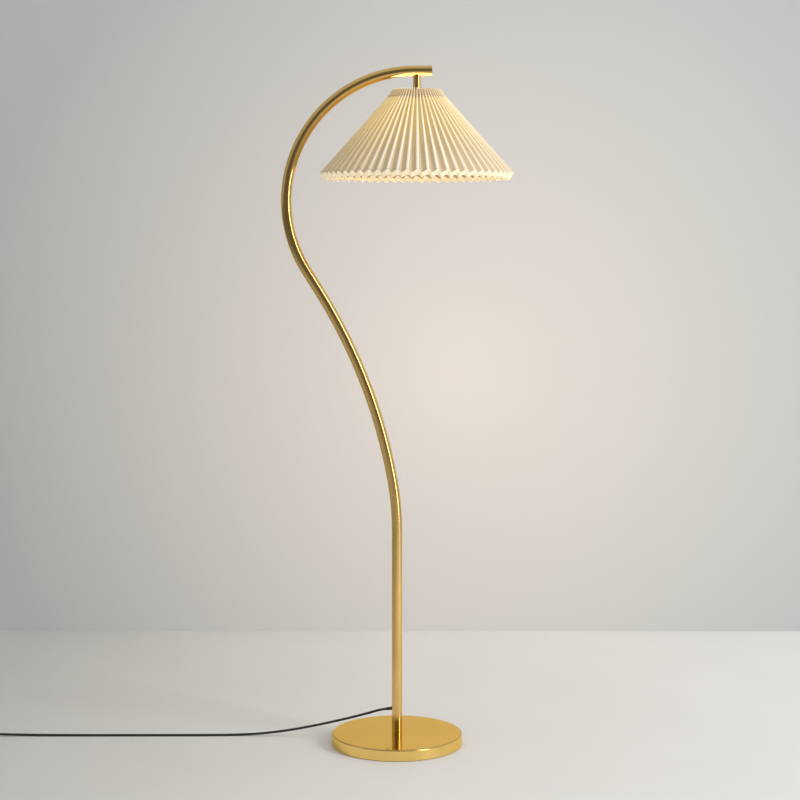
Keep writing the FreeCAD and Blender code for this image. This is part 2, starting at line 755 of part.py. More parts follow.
def make_spider():
    """The wire carrier inside the shade: a hub on the lampholder, three arms, and a hoop in the collar."""
    collar("shade_hub", "skirt_radius + hub_gap", "hub_radius", "hub_bottom", "hub_top", x="shade_x")
    hoop = doc.addObject("Part::Torus", "shade_hoop")
    bind(hoop, Radius1="hoop_radius", Radius2="hoop_wire / 2", x="shade_x", z="collar_crease")
    level = (size("hub_top") + size("hub_bottom")) / 2
    stations = [
        (size("hub_radius") - size("spider_inset"), level),
        (size("hub_radius") + size("spider_flat"), level),
        (size("hoop_radius") - size("hoop_wire") / 2, size("collar_crease"))]
    count = int(size("spider_arms"))
    arms = []
    for i in range(count):
        turn = math.radians(90 + 360 * i / count)
        points = [point(size("shade_x") + r * math.cos(turn), r * math.sin(turn), z)
                  for r, z in stations]
        arms.append(tube_along(points, size("spider_wire") / 2))
    solid("shade_arms", Part.makeCompound(arms))


def make_clamp_ring():
    """The threaded ring under the hub, notched round its edge for the fingers."""
    body = collar("clamp_ring", "skirt_radius + ring_gap", "ring_radius",
                  "ring_top - ring_height", "ring_top", x="shade_x")
    sketch = new_sketch(body, "notch_place", "XY_Plane")
    sketch.setExpression("AttachmentOffset.Base.z", bound("ring_top"))
    rim = point(size("ring_radius"), 0, 0)
    circle = sketch.addGeometry(Part.Circle(rim, point(0, 0, 1), size("ring_notch_radius")))
    sketch.addConstraint(Sketcher.Constraint("PointOnObject", circle, 3, X_AXIS))
    constrain(sketch, "DistanceX", *ORIGIN_POINT, circle, 3, rim.x, to="ring_radius")
    constrain(sketch, "Radius", circle, size("ring_notch_radius"), to="ring_notch_radius")
    doc.recompute()
    before = body.Shape.Volume
    notch = body.newObject("PartDesign::Pocket", "notch")
    notch.Profile = sketch
    bind(notch, Length="ring_height")
    pattern = body.newObject("PartDesign::PolarPattern", "notches")
    pattern.Originals = [notch]
    pattern.Axis = (sketch, ["N_Axis"])
    pattern.Angle = 360
    pattern.Occurrences = int(size("ring_notches"))
    body.Tip = pattern
    doc.recompute()
    if body.Shape.Volume > before - 1:
        raise RuntimeError("the notches cut nothing from the clamp ring")


# ---------------------------------------------------------------- cord


def corner_arc(corner, back, ahead, radius):
    """Start, middle and end of the arc that rounds a corner between two unit directions out of it."""
    half_turn = (math.pi - back.getAngle(ahead)) / 2
    reach = radius * math.tan(half_turn)
    inward = (back + ahead).normalize()
    middle = corner + inward * (radius / math.cos(half_turn) - radius)
    return corner + back * reach, middle, corner + ahead * reach


def smooth_route(points):
    """Straight runs joined by tangent arcs. Returns the wire and the radius of each arc."""
    edges = []
    radii = []
    last = points[0]
    for before, here, after in zip(points, points[1:], points[2:]):
        shorter = min((here - before).Length, (after - here).Length)
        back = (before - here).normalize()
        ahead = (after - here).normalize()
        half_turn = (math.pi - back.getAngle(ahead)) / 2
        radius = 0.45 * shorter / math.tan(half_turn)
        radii.append(radius)
        start, middle, end = corner_arc(here, back, ahead, radius)
        edges.append(Part.LineSegment(last, start).toShape())
        edges.append(Part.Arc(start, middle, end).toShape())
        last = end
    edges.append(Part.LineSegment(last, points[-1]).toShape())
    return Part.Wire(edges), radii


def swept(wire, start, heading, radius):
    """A round solid along a wire, compared with its section times its length."""
    circle = Part.Wire([Part.Circle(start, heading, radius).toShape()])
    shape = wire.makePipeShell([circle], True, True)
    expected = math.pi * radius ** 2 * wire.Length
    if not shape.isValid() or abs(shape.Volume / expected - 1) > 0.01:
        raise RuntimeError("a swept tube does not have the volume of its section times its length")
    return shape


def tube_along(points, radius):
    """A round solid that follows a route of points."""
    wire = smooth_route(points)[0]
    return swept(wire, points[0], points[1] - points[0], radius)


def cord_tube(label, points):
    """One stretch of the cord, with its length and radii printed."""
    wire, radii = smooth_route(points)
    solid(label, swept(wire, points[0], points[1] - points[0], size("cord_radius")))
    shown = ", ".join(f"{radius:.0f}" for radius in radii)
    print(f"{label}: {wire.Length:.0f} mm long, radii {shown} mm")


def vectors(points):
    """A list of coordinates as vectors."""
    return [point(*place) for place in points]


def exit_point():
    """The middle of the strain relief's small end, where the free cord begins."""
    start, away = exit_frame()
    surface = size("tube_radius") / math.cos(math.radians(size("exit_tilt")))
    return start + away * (surface + size("relief_length"))


def make_cord_bush():
    """The rubber bush in the pole: a neck in the hole, a flange on the tube and a tapered relief."""
    start = exit_frame()[0]
    turn = exit_rotation()
    surface = f"tube_radius / {math.cos(math.radians(size('exit_tilt'))):.6f}"
    bore = "cord_radius + bush_gap"
    neck = collar("bush_neck", bore, "exit_hole_radius - bush_gap",
                  f"{surface} - exit_neck_depth", f"{surface} + flange_thickness", turn=turn)
    skirt = turned("bush_skirt", [
        (bore, f"{surface} - exit_neck_depth"), ("flange_radius", f"{surface} - exit_neck_depth"),
        ("flange_radius", f"{surface} + flange_thickness - 0.5"),
        ("flange_radius - 0.5", f"{surface} + flange_thickness"),
        ("relief_root_radius", f"{surface} + flange_thickness"),
        ("relief_tip_radius", f"{surface} + relief_length"), (bore, f"{surface} + relief_length")],
        turn=turn)
    for piece in (neck, skirt):
        piece.Placement.Base = start
    pole = rod("bush_pole", "tube_radius", "exit_height", z="exit_height / 2")
    saddle = cut("bush_flange", skirt, pole)
    fuse("cord_bush", neck, saddle)


def make_inner_lead():
    """The lead inside the lamp: in at the bush, up the pole, round the arm and down to the lampholder."""
    line = arm_line()
    corner, away = exit_frame()
    tip = exit_point()
    bend_in, bend_middle, bend_out = corner_arc(corner, away, point(0, 0, 1), size("inner_bend_radius"))
    edges = [
        Part.LineSegment(tip, bend_in).toShape(),
        Part.Arc(bend_in, bend_middle, bend_out).toShape(),
        Part.LineSegment(bend_out, flat_point(line["bend_start"])).toShape(),
        arm_arc(line["low_centre"], size("low_bend_radius"), 0, line["first"]),
        arm_arc(line["high_centre"], size("high_bend_radius"), line["first"], line["lean"]),
        Part.LineSegment(flat_point(line["straight_start"]), flat_point(line["crook_start"])).toShape()]
    over, turn_level = way_into_stem(line)
    edges += over
    end = point(size("shade_x"), 0, size("holder_top") - size("lead_end_drop"))
    edges.append(Part.LineSegment(flat_point((size("shade_x"), turn_level)), end).toShape())
    wire = Part.Wire(edges)
    print(f"lead_inside: {wire.Length:.0f} mm long")
    solid("lead_inside", swept(wire, tip, away * -1, size("cord_radius")))


def way_into_stem(line):
    """The lead's way over the crook and down into the stem, and the level where it hangs straight."""
    crook = size("crook_radius")
    drop = size("stem_bend_radius")
    top = size("arm_height")
    centre_x, centre_z = line["crook_centre"]
    turn_x = size("shade_x") - drop
    low_end = math.pi + line["lean"]
    if turn_x > centre_x:
        level_run = Part.LineSegment(flat_point((centre_x, top)), flat_point((turn_x, top))).toShape()
        crook_arc = arm_arc(line["crook_centre"], crook, low_end, math.pi / 2)
        return [crook_arc, level_run, arm_arc((turn_x, top - drop), drop, math.pi / 2, 0)], top - drop
    # the stem is so near the crook's end that the small bend is tangent to the crook itself
    leave = math.acos((turn_x - centre_x) / (crook - drop))
    turn_z = centre_z + (crook - drop) * math.sin(leave)
    crook_arc = arm_arc(line["crook_centre"], crook, low_end, leave)
    return [crook_arc, arm_arc((turn_x, turn_z), drop, leave, 0)], turn_z


def flat_point(pair):
    """An (x, level) pair as a point in the arm's plane."""
    return point(pair[0], 0, pair[1])


def arm_arc(centre, radius, start, end):
    """An arc in the arm's plane between two angles counted from +X towards +Z."""
    def at(angle):
        return point(centre[0] + radius * math.cos(angle), 0, centre[1] + radius * math.sin(angle))
    return Part.Arc(at(start), at((start + end) / 2), at(end)).toShape()


def make_free_cord():
    """The cord over the floor to the switch, on to the coil, and from the coil to the plug."""
    switch_in = (size("switch_front"), size("cord_y"), size("switch_split"))
    switch_out = (size("switch_back"), size("cord_y"), size("switch_split"))
    half_ring = size("cord_diameter") * 0.5 * (COIL_RINGS - 1)
    coil_in = (size("coil_x"), size("coil_y") + size("coil_radius") + half_ring, size("coil_floor"))
    coil_out = (size("coil_x") + size("coil_radius"), size("coil_y"),
                size("coil_floor") + size("cord_diameter"))
    plug_in = (size("plug_lead_x"), size("plug_y"), size("plug_axis_height"))
    cord_tube("cord_to_switch", [exit_point()] + vectors(POLE_TO_SWITCH + [switch_in]))
    cord_tube("cord_to_coil", vectors([switch_out] + SWITCH_TO_COIL + [coil_in]))
    cord_tube("cord_to_plug", vectors([coil_out] + COIL_TO_PLUG + [plug_in]))


def make_coil():
    """The put-away coil as one ring of its outer shape, and the strap that ties it."""
    half = f"cord_diameter * {COIL_RINGS / 2} + coil_room"
    top = f"coil_lift + cord_diameter * {COIL_LAYERS}"
    collar("cord_coil", f"coil_radius - ({half})", f"coil_radius + {half}", "coil_lift", top,
           x="coil_x", y="coil_y")
    width = f"cord_diameter * {COIL_RINGS} + coil_room * 2 + tie_gap * 2"
    height = f"cord_diameter * {COIL_LAYERS} + tie_gap * 2 - 0.25"
    inner = block("tie_hole", width, "tie_width", height, x=f"coil_x - coil_radius - ({width}) / 2",
                  y="coil_y - tie_width / 2", z="coil_lift - 0.1")
    outer = block("tie_block", f"{width} + tie_wall * 2", "tie_width", f"{height} + tie_wall * 2",
                  x=f"coil_x - coil_radius - ({width}) / 2 - tie_wall", y="coil_y - tie_width / 2",
                  z="coil_lift - 0.1 - tie_wall")
    cut("coil_tie", outer, inner)


# ---------------------------------------------------------------- foot switch


def switch_box(label, inset, low, high):
    """A block of the switch's outline, drawn in on every side."""
    return block(label, f"switch_length - {inset} * 2", f"switch_width - {inset} * 2",
                 f"{high} - {low}", x=f"switch_back + {inset}", y=f"cord_y - switch_width / 2 + {inset}",
                 z=low)


def screw_posts(label, radius, low, high):
    """Two posts, one near each end of the switch."""
    posts = [rod(f"{label}_{side}", radius, f"{high} - {low}", x=f"switch_x {sign} switch_screw_x",
                 y="cord_y", z=low) for side, sign in (("left", "-"), ("right", "+"))]
    return fuse(label, *posts)


def make_switch():
    """The foot switch on the cord: two half shells, screws, contact strips, spring and push button."""
    corner = size("switch_corner")
    base_body = rounded("switch_base_round", switch_box("switch_base_block", "0", "0", "switch_split"),
                        corner, upright)
    base_room = rounded("switch_base_room", switch_box(
        "switch_base_hollow", "switch_wall", "switch_wall", "switch_split"),
        corner - size("switch_wall"), upright)
    base_shell = cut("switch_base_shell", base_body, base_room)
    base_posts = screw_posts("switch_base_posts", "switch_boss_radius", "switch_wall", "switch_split")
    post_holes = screw_posts("switch_base_holes", "switch_screw_radius + thread_gap", "0", "switch_split")
    head_holes = screw_posts("switch_head_holes", "switch_head_radius + thread_gap", "0",
                             "(switch_head_height + 0.4)")
    cut("switch_base", fuse("switch_base_solid", base_shell, base_posts), post_holes, head_holes)

    cover_sides = rounded("switch_cover_sides", switch_box(
        "switch_cover_block", "0", "switch_split", "switch_height"), corner, upright)
    cover_body = rounded("switch_cover_round", cover_sides, size("switch_round"),
                         edge_at(size("switch_height")))
    cover_room = rounded("switch_cover_room", switch_box(
        "switch_cover_hollow", "switch_wall", "switch_split", "(switch_height - switch_wall)"),
        corner - size("switch_wall"), upright)
    button_hole = rod("switch_button_hole", "button_radius + button_gap", "switch_height",
                      x="switch_x", y="cord_y", z="switch_split")
    cover_shell = cut("switch_cover_shell", cover_body, cover_room, button_hole)
    hole_top = "(switch_split + switch_boss_rise)"
    cover_posts = screw_posts("switch_cover_posts", "switch_boss_radius", "switch_split",
                              "(switch_height - switch_wall)")
    cover_holes = screw_posts("switch_cover_holes", "switch_screw_radius", "switch_split", hole_top)
    cut("switch_cover", fuse("switch_cover_solid", cover_shell, cover_posts), cover_holes)

    head_top = "(switch_head_height + 0.4)"
    shanks = screw_posts("switch_screw_shanks", "switch_screw_radius - thread_gap", head_top,
                         f"({hole_top} - 1)")
    heads = screw_posts("switch_screw_heads", "switch_head_radius", "0.4", head_top)
    fuse("switch_screws", shanks, heads)

    strips = [block(f"strip_{side}", "strip_length", "strip_width", "strip_height",
                    x=f"switch_x {sign} strip_x - strip_length / 2", y="cord_y - strip_width / 2",
                    z="switch_wall") for side, sign in (("left", "-"), ("right", "+"))]
    fuse("switch_contacts", *strips)
    make_button()


def make_button():
    """The push button, held down by the cover on its flange, and the spring under it."""
    flange_low = "button_seat - button_flange_height"
    top = "switch_height + button_rise"
    turned("switch_button", [
        ("0", flange_low), ("button_flange", flange_low), ("button_flange", "button_seat"),
        ("button_radius", "button_seat"), ("button_radius", f"{top} - 1.2"),
        ("button_radius - 1.2", f"{top} - 0.2"), ("0", top)], x="switch_x", y="cord_y")
    wire = size("spring_wire")
    low = size("switch_wall") + wire / 2 + size("coil_room")
    high = size("button_seat") - size("button_flange_height") - wire / 2 - size("coil_room")
    radius = size("spring_radius")
    helix = Part.makeHelix((high - low) / size("spring_turns"), high - low, radius)
    section = Part.Wire([Part.Circle(point(radius, 0, 0), point(0, 1, 0), wire / 2).toShape()])
    spring = Part.Wire(helix).makePipeShell([section], True, True)
    item = solid("switch_spring", spring)
    item.Placement.Base = point(size("switch_x"), size("cord_y"), low)


# ---------------------------------------------------------------- plug


def make_plug():
    """The flat plug lying on the floor: moulded body, two round pins and a tapered relief."""
    body = doc.addObject("PartDesign::Body", "plug_body")
    sketch = new_sketch(body, "plug_outline", "XY_Plane")
    outline(sketch, [
        ("0", "0 - plug_neck_width / 2"), ("0", "plug_neck_width / 2"),
        ("0 - plug_length * 0.6", "plug_width / 2"), ("0 - plug_length", "plug_width / 2 - 1"),
        ("0 - plug_length", "1 - plug_width / 2"), ("0 - plug_length * 0.6", "0 - plug_width / 2")])
    pad = body.newObject("PartDesign::Pad", "plug_pad")
    pad.Profile = sketch
    bind(pad, Length="plug_height")
    bind(body, x="plug_x", y="plug_y", z="plug_axis_height - plug_height / 2")
    doc.recompute()
    edges = [f"Edge{i}" for i, edge in enumerate(pad.Shape.Edges, 1) if not at_pin_face(edge)]
    fillet = body.newObject("PartDesign::Fillet", "plug_rounding")
    fillet.Base = (pad, edges)
    bind(fillet, Radius="plug_round")
    pins = []
    for side, sign in (("near", "-"), ("far", "+")):
        pin = rod(f"pin_{side}", "pin_diameter / 2", "pin_length", turn=TURN_TO_X,
                  x="plug_face - pin_length", y=f"plug_y {sign} pin_pitch / 2", z="plug_axis_height")
        doc.recompute()
        tip = doc.addObject("Part::Chamfer", f"pin_{side}_tip")
        tip.Base = pin
        chamfer = size("pin_chamfer")
        tip.Edges = [(i, chamfer, chamfer) for i, edge in enumerate(pin.Shape.Edges, 1)
                     if all(v.X < size("plug_face") - size("pin_length") + 0.01 for v in edge.Vertexes)]
        pins.append(tip)
    fuse("plug_pins", *pins)
    turned("plug_relief", [
        ("0", "0"), ("plug_relief_radius", "0"), ("relief_tip_radius", "plug_relief_length"),
        ("0", "plug_relief_length")], turn=TURN_TO_X, x="plug_x", y="plug_y", z="plug_axis_height")


def at_pin_face(edge):
    """Whether an edge of the plug's block lies in the face that the pins leave."""
    face = -size("plug_length")
    return all(abs(v.X - face) < 0.01 for v in edge.Vertexes)


# ---------------------------------------------------------------- everything

NODES = [
    "base_felt", "base_weight", "base_cover", "base_bolt", "base_washer",
    "pole_tube", "foot_bush", "joint_socket", "joint_stud",
    "arm_tube", "arm_cap", "drop_stem", "stem_bush", "stem_nipple", "nipple_nut",
    "holder_cap", "holder_body", "holder_core", "screw_shell", "centre_contact", "terminal_screws",
    "bulb_tip", "bulb_insulator", "bulb_cap", "bulb_glass", "bulb_light",
    "shade", "shade_hub", "shade_hoop", "shade_arms", "clamp_ring",
    "cord_bush", "lead_inside", "cord_to_switch", "cord_to_coil", "cord_to_plug", "cord_coil",
    "coil_tie", "switch_base", "switch_cover", "switch_screws", "switch_contacts", "switch_button",
    "switch_spring", "plug_body", "plug_pins", "plug_relief",
]


def export_nodes():
    """Check every object, then write each sub-part to its own file."""
    doc.recompute()
    failed = [item.Label for item in doc.Objects if {"Invalid", "Error"} & set(item.State)]
    if failed:
        raise RuntimeError(f"objects that failed to build: {failed}")
    os.makedirs("parts", exist_ok=True)
    for name in NODES:
        item = doc.getObject(name)
        if item.Shape.isNull() or not item.Shape.isValid() or not item.Shape.Solids:
            raise RuntimeError(f"{name} has no valid solid")
        item.Label = name
    for name in NODES:
        doc.getObject(name).Shape.exportStep(f"parts/{name}.step")
    print(f"{len(NODES)} sub-parts written")


fill_sheet()
make_base()
make_pole()
make_joint()
make_arm()
make_arm_cap()
make_stem()
make_holder()
make_bulb()
make_shade()
make_spider()
make_clamp_ring()
make_cord_bush()
make_inner_lead()
make_free_cord()
make_coil()
make_switch()
make_plug()
export_nodes()
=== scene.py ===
# %% [markdown]
# # An arc floor lamp with a pleated shade
# A heavy brass-covered disc carries a short straight pole. On it stands one long tube, which leans left,
# bends back to the right and ends level, over the middle of the base. A pleated cloth shade hangs there,
# and a black mains lead leaves the foot of the pole. The metal parts, with their sizes and joints, come
# from the CAD frame and are never moved. This script adds what is soft (the lead and the cloth), a
# finish for every surface, and a small studio to look at it all in.

# %% Load the frame and keep its box
import math

import bpy
import numpy as np
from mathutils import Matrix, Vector


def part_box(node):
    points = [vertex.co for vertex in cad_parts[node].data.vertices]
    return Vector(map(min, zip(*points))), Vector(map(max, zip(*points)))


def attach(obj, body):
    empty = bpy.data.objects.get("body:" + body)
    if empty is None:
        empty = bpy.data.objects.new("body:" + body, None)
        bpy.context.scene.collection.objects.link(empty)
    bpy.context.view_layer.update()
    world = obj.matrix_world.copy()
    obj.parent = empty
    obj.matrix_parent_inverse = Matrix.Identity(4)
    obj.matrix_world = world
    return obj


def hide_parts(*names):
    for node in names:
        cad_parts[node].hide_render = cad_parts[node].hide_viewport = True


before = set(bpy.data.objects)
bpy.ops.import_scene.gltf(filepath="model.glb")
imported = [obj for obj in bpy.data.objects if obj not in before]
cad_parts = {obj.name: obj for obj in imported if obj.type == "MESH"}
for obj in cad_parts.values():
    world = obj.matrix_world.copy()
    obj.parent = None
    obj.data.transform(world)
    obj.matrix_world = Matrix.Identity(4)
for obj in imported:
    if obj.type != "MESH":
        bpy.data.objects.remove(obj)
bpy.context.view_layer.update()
MM = 0.001

# %% [markdown]
# ## The camera
# A floor lamp is looked at from across a room, standing up but not quite at eye height. A long lens
# keeps the pole upright and the base a flat oval. The camera could be aimed by a constraint, but a plain
# place and one pitch angle say the same and stay put when the scene is looked at from other sides.

# %% Camera
CAMERA_PLACE = (0.0064, -3.835, 1.088)
CAMERA_PITCH = math.radians(5.108)
LENS_MM = 81.52
SENSOR_MM = 36.0
SIGHT_END = 60.0

camera = bpy.data.objects.new("camera", bpy.data.cameras.new("camera"))
camera.location = CAMERA_PLACE
camera.rotation_euler = (math.pi / 2 - CAMERA_PITCH, 0, 0)
camera.data.lens = LENS_MM
camera.data.sensor_width = SENSOR_MM
camera.data.clip_end = SIGHT_END
bpy.context.scene.collection.objects.link(camera)
bpy.context.scene.camera = camera
print("camera", CAMERA_PLACE, "looking down", round(math.degrees(CAMERA_PITCH), 2), "degrees")

# %% [markdown]
# ## The mains lead
# The lead is one flexible sheathed cord, 5.2 mm thick. It leaves the back left of the pole through a
# rubber strain relief, sinks to the floor under its own weight, and runs left to a foot switch. After
# the switch the rest is put away in a small tied coil, with the plug beside it. A cord simulation could
# lay it, but its route is known, so each stretch is a smooth spline through a short list of given points.
# Only the coil is worked out, ring by ring.

# %% The points of the route
CORD_DIAMETER = 5.2 * MM
CORD_EXIT = (-23.29, 19.54, 70.96)
POLE_TO_SWITCH = [
    CORD_EXIT,
    (-35.2, 29.5, 67.1),
    (-62, 37, 57.2),
    (-110, 43.5, 43),
    (-170, 48, 28.2),
    (-235, 53, 14.4),
    (-300, 57.3, 5.4),
    (-352, 58.3, 2.65),
    (-425, 55.3, 2.65),
    (-872, 54.8, 2.65),
    (-900, 54.8, 7),
]
SWITCH_TO_COIL = [
    (-970, 54.8, 7),
    (-986.5, 55.2, 2.9),
    (-1004, 54.2, 2.65),
    (-1019.8, 42.3, 2.65),
    (-1026.3, 22.2, 2.65),
    (-1019.8, 2, 2.65),
    (-1002.6, -10.4, 2.65),
    (-972, -11.6, 2.8),
    (-942, -11.1, 3.1),
]
COIL_TO_PLUG = [
    (-882.5, -69.2, 8.4),
    (-887, -95.2, 4.8),
    (-902, -113.2, 3),
    (-924, -120.2, 4.6),
    (-942, -120.7, 7),
]
COIL_CENTRE = (-912, -43.2)


# %% [markdown]
# ### The coil
# A put-away lead is wound into flat rings that lie beside and on each other, one cord apart. A ring's
# points sit on a circle. A spline cuts inside its control points, so the circle they sit on is a little
# larger than the ring it makes.

# %% One ring of the coil
POINTS_PER_TURN = 16


def ring_points(radius, height, first_turn, turns):
    """Points on a clockwise circle: the angle falls evenly from first_turn, over the given turns."""
    count = int(round(turns * POINTS_PER_TURN))
    angle = 2 * math.pi * (first_turn - np.arange(count) / POINTS_PER_TURN)
    reach = radius / (0.75 + 0.25 * math.cos(2 * math.pi / POINTS_PER_TURN))
    x = COIL_CENTRE[0] + reach * np.cos(angle)
    y = COIL_CENTRE[1] + reach * np.sin(angle)
    return list(zip(x, y, np.full(count, height)))


LOW_RING_RADII = (32.6, 27.4)
TOP_RING_RADIUS = 30.0
LOW_RING_HEIGHT = 3.5
TOP_RING_HEIGHT = 8.7
COIL_START = 0.25
COIL = []
for ring_radius in LOW_RING_RADII:
    COIL += ring_points(ring_radius, LOW_RING_HEIGHT, COIL_START, 1.0)
COIL += ring_points(TOP_RING_RADIUS, TOP_RING_HEIGHT, COIL_START, 1.25)
COIL.append((COIL_CENTRE[0] + TOP_RING_RADIUS, COIL_CENTRE[1], TOP_RING_HEIGHT))
print("coil points", len(COIL))


# %% The line that the lead follows
ROUTE_RESOLUTION = 14


def spline_path(points_mm):
    """Points in metres read from one open NURBS spline whose control points are the route's points."""
    data = bpy.data.curves.new("route", "CURVE")
    data.dimensions = "3D"
    data.resolution_u = ROUTE_RESOLUTION
    spline = data.splines.new("NURBS")
    spline.points.add(len(points_mm) - 1)
    for point, place in zip(spline.points, points_mm):
        point.co = (*(v * MM for v in place), 1)
    spline.order_u = 3
    spline.use_endpoint_u = True
    carrier = bpy.data.objects.new("route", data)
    bpy.context.scene.collection.objects.link(carrier)
    line = bpy.data.meshes.new_from_object(carrier)
    path = np.zeros(len(line.vertices) * 3)
    line.vertices.foreach_get("co", path)
    bpy.data.objects.remove(carrier)
    bpy.data.meshes.remove(line)
    return path.reshape(-1, 3)


def path_length(path):
    return float(np.linalg.norm(np.diff(path, axis=0), axis=1).sum())


# %% A mesh from a grid of points
def grid_mesh(name, points, close_across=False):
    """A mesh whose vertices are points[i, j] and whose faces join (i, j), (i+1, j), (i+1, j+1), (i, j+1).

    With close_across the last column is joined to the first.
    """
    rows, columns = points.shape[:2]
    number = np.arange(rows * columns).reshape(rows, columns)
    if close_across:
        number = np.hstack([number, number[:, :1]])
    quads = np.stack([number[:-1, :-1], number[1:, :-1], number[1:, 1:], number[:-1, 1:]], axis=-1).reshape(-1, 4)
    mesh = bpy.data.meshes.new(name)
    mesh.vertices.add(rows * columns)
    mesh.vertices.foreach_set("co", points.reshape(-1).astype(np.float32))
    mesh.loops.add(quads.size)
    mesh.loops.foreach_set("vertex_index", quads.reshape(-1))
    mesh.polygons.add(len(quads))
    mesh.polygons.foreach_set("loop_start", np.arange(0, quads.size, 4))
    mesh.update(calc_edges=True)
    mesh.validate()
    piece = bpy.data.objects.new(name, mesh)
    bpy.context.scene.collection.objects.link(piece)
    return piece, quads


# %% [markdown]
# ### A tube round the line
# A curve with a bevel would draw the same tube, but a mesh tube has an exact size and can be mapped like any
# other surface. The lead never stands upright, so a sideways and an upward direction, square to its own, can
# be found at every point at once.

# %% Carry a circle along the line
CORD_SIDES = 14
WELD_DISTANCE = 0.01 * MM


def tube_points(path, radius):
    """A circle of the radius, square to the path at each of its points, with a point closing each end."""
    way = np.gradient(path, axis=0)
    way /= np.linalg.norm(way, axis=1)[:, None]
    aside = np.cross(way, [0, 0, 1])
    aside /= np.linalg.norm(aside, axis=1)[:, None]
    upward = np.cross(aside, way)
    turn = 2 * np.pi * np.arange(CORD_SIDES) / CORD_SIDES
    ring = np.cos(turn)[:, None] * aside[:, None, :] + np.sin(turn)[:, None] * upward[:, None, :]
    points = path[:, None, :] + radius * ring
    start = np.repeat(path[:1, None, :], CORD_SIDES, axis=1)
    end = np.repeat(path[-1:, None, :], CORD_SIDES, axis=1)
    return np.concatenate([start, points, end])


def close_poles(piece):
    """Merge the points that lie on each other where a surface shrinks to a point."""
    weld = piece.modifiers.new("close", "WELD")
    weld.merge_threshold = WELD_DISTANCE
    piece.data.polygons.foreach_set("use_smooth", [True] * len(piece.data.polygons))


# %% [markdown]
# ### The two stretches
# One stretch runs from the pole to the switch, the other from the switch to the plug. Each is a piece of its
# own and says which CAD nodes it stands for. The lead doesn't show in mirrors: its image would draw a dark
# line over the polished base.

# %% Lay the lead in its two stretches
near_path = spline_path(POLE_TO_SWITCH)
far_path = spline_path(SWITCH_TO_COIL + COIL + COIL_TO_PLUG)
near_lead, _ = grid_mesh("lead_near", tube_points(near_path, CORD_DIAMETER / 2), close_across=True)
far_lead, _ = grid_mesh("lead_far", tube_points(far_path, CORD_DIAMETER / 2), close_across=True)
for lead, path in ((near_lead, near_path), (far_lead, far_path)):
    close_poles(lead)
    lead.visible_glossy = False
    print(lead.name, round(path_length(path), 3), "m long,", len(lead.data.polygons), "faces")


def nodes(names):
    """The CAD nodes of those names."""
    return [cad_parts[name] for name in names]


stand_ins = ((near_lead, ["cord_to_switch"]), (far_lead, ["cord_to_coil", "cord_coil", "cord_to_plug"]))
for lead, stands_for in stand_ins:
    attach(lead, "stand")
    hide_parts(*stands_for)


# %% [markdown]
# ## The pleated shade
# The shade is one long strip of cloth on a stiff backing, pressed into equal pleats, drawn together at the
# top and left to spread at the rim. Two creases cross it: one where the collar leans out into the cone, and
# one at the rim, where every pleat is folded in reverse to make a short lip that turns inwards. A zigzag
# extruded from a sketch could not get narrower as it rises. A surface of two parameters can: one runs round
# the lamp and goes back and forth between ridge and valley, the other runs down the cloth.

# %% Measurements of the shade
PLEATS = 62
CLOTH_PER_PLEAT = 26.4 * MM
CLOTH_THICKNESS = 0.35 * MM
SHADE_AXIS_X = sum(corner.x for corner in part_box("shade_hoop")) / 2
SHADE_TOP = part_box("shade")[1].z
COLLAR_TOP = np.array([50 * MM, SHADE_TOP])
COLLAR_FOOT = COLLAR_TOP + np.array([11, -16]) * MM
RIM = COLLAR_TOP + np.array([153.6, -174.7]) * MM
LIP_WIDTH = 16 * MM
LIP_SLOPE = np.array([-0.8, -0.6])
LIP_FOLD = 7 * MM
RIM_VALLEY_RUN = 1.5 * MM
print("shade axis x", round(SHADE_AXIS_X, 5), "top", round(SHADE_TOP, 4), "rim radius", RIM[0])

# %% [markdown]
# ### One pleat
# The pressed pleat isn't an even zigzag. It has a narrow flat crest on the outside, then a short face that
# drops to the valley and a longer face that climbs to the next crest. One pleat is 2 units of phase long.

# %% The pleat's section
CREST_HALF = 0.24
VALLEY_PHASE = 0.72
PLEAT_CORNERS = np.array([0, CREST_HALF, VALLEY_PHASE, 2 - CREST_HALF, 2])
PLEAT_SHARES = np.array([0, 0, 1, 0, 0])
COLUMN_PHASES = np.array([0, 0.20, 0.28, 0.5, 0.68, 0.76, 1.1, 1.4, 1.72, 1.80])
UNEVEN = 0.05
UNEVEN_WAVES = (17, 5)


def pleat_columns():
    """For each column: the phase within its pleat, the turn round the axis, and the share of the way from
    crest (0) to valley (1), which is straight between the pleat's corners. Slow waves make pleats uneven."""
    pleat = np.arange(PLEATS)[:, None]
    phase = np.broadcast_to(COLUMN_PHASES, (PLEATS, len(COLUMN_PHASES)))
    share = np.interp(phase, PLEAT_CORNERS, PLEAT_SHARES).reshape(-1)
    turn = ((pleat + phase / 2) / PLEATS).reshape(-1)
    quick, slow = UNEVEN_WAVES
    wobble = UNEVEN * np.sin(quick * 2 * np.pi * turn) * np.cos(slow * 2 * np.pi * turn) / (2 * PLEATS)
    return (pleat * 2 + phase).reshape(-1), turn + wobble, share


# %% [markdown]
# ### Crest lines and valley lines
# The cloth doesn't stretch, so each pleat keeps its length of cloth. Near the collar the pleats are close
# together and must stand deep, and at the rim they are spread and shallower. What the crest leaves is two
# faces, and half of it, the face's run and the depth make a right triangle. On the lip the fold goes the
# other way: what was a valley stands lower and further out, so the rim and the lower edge both zigzag.

# %% The two lines that every pleat repeats
def unit(v):
    return v / np.linalg.norm(v)


def inward(direction):
    """The direction square to a line in the (radius, height) plane, towards the axis and down."""
    return np.array([direction[1], -direction[0]])


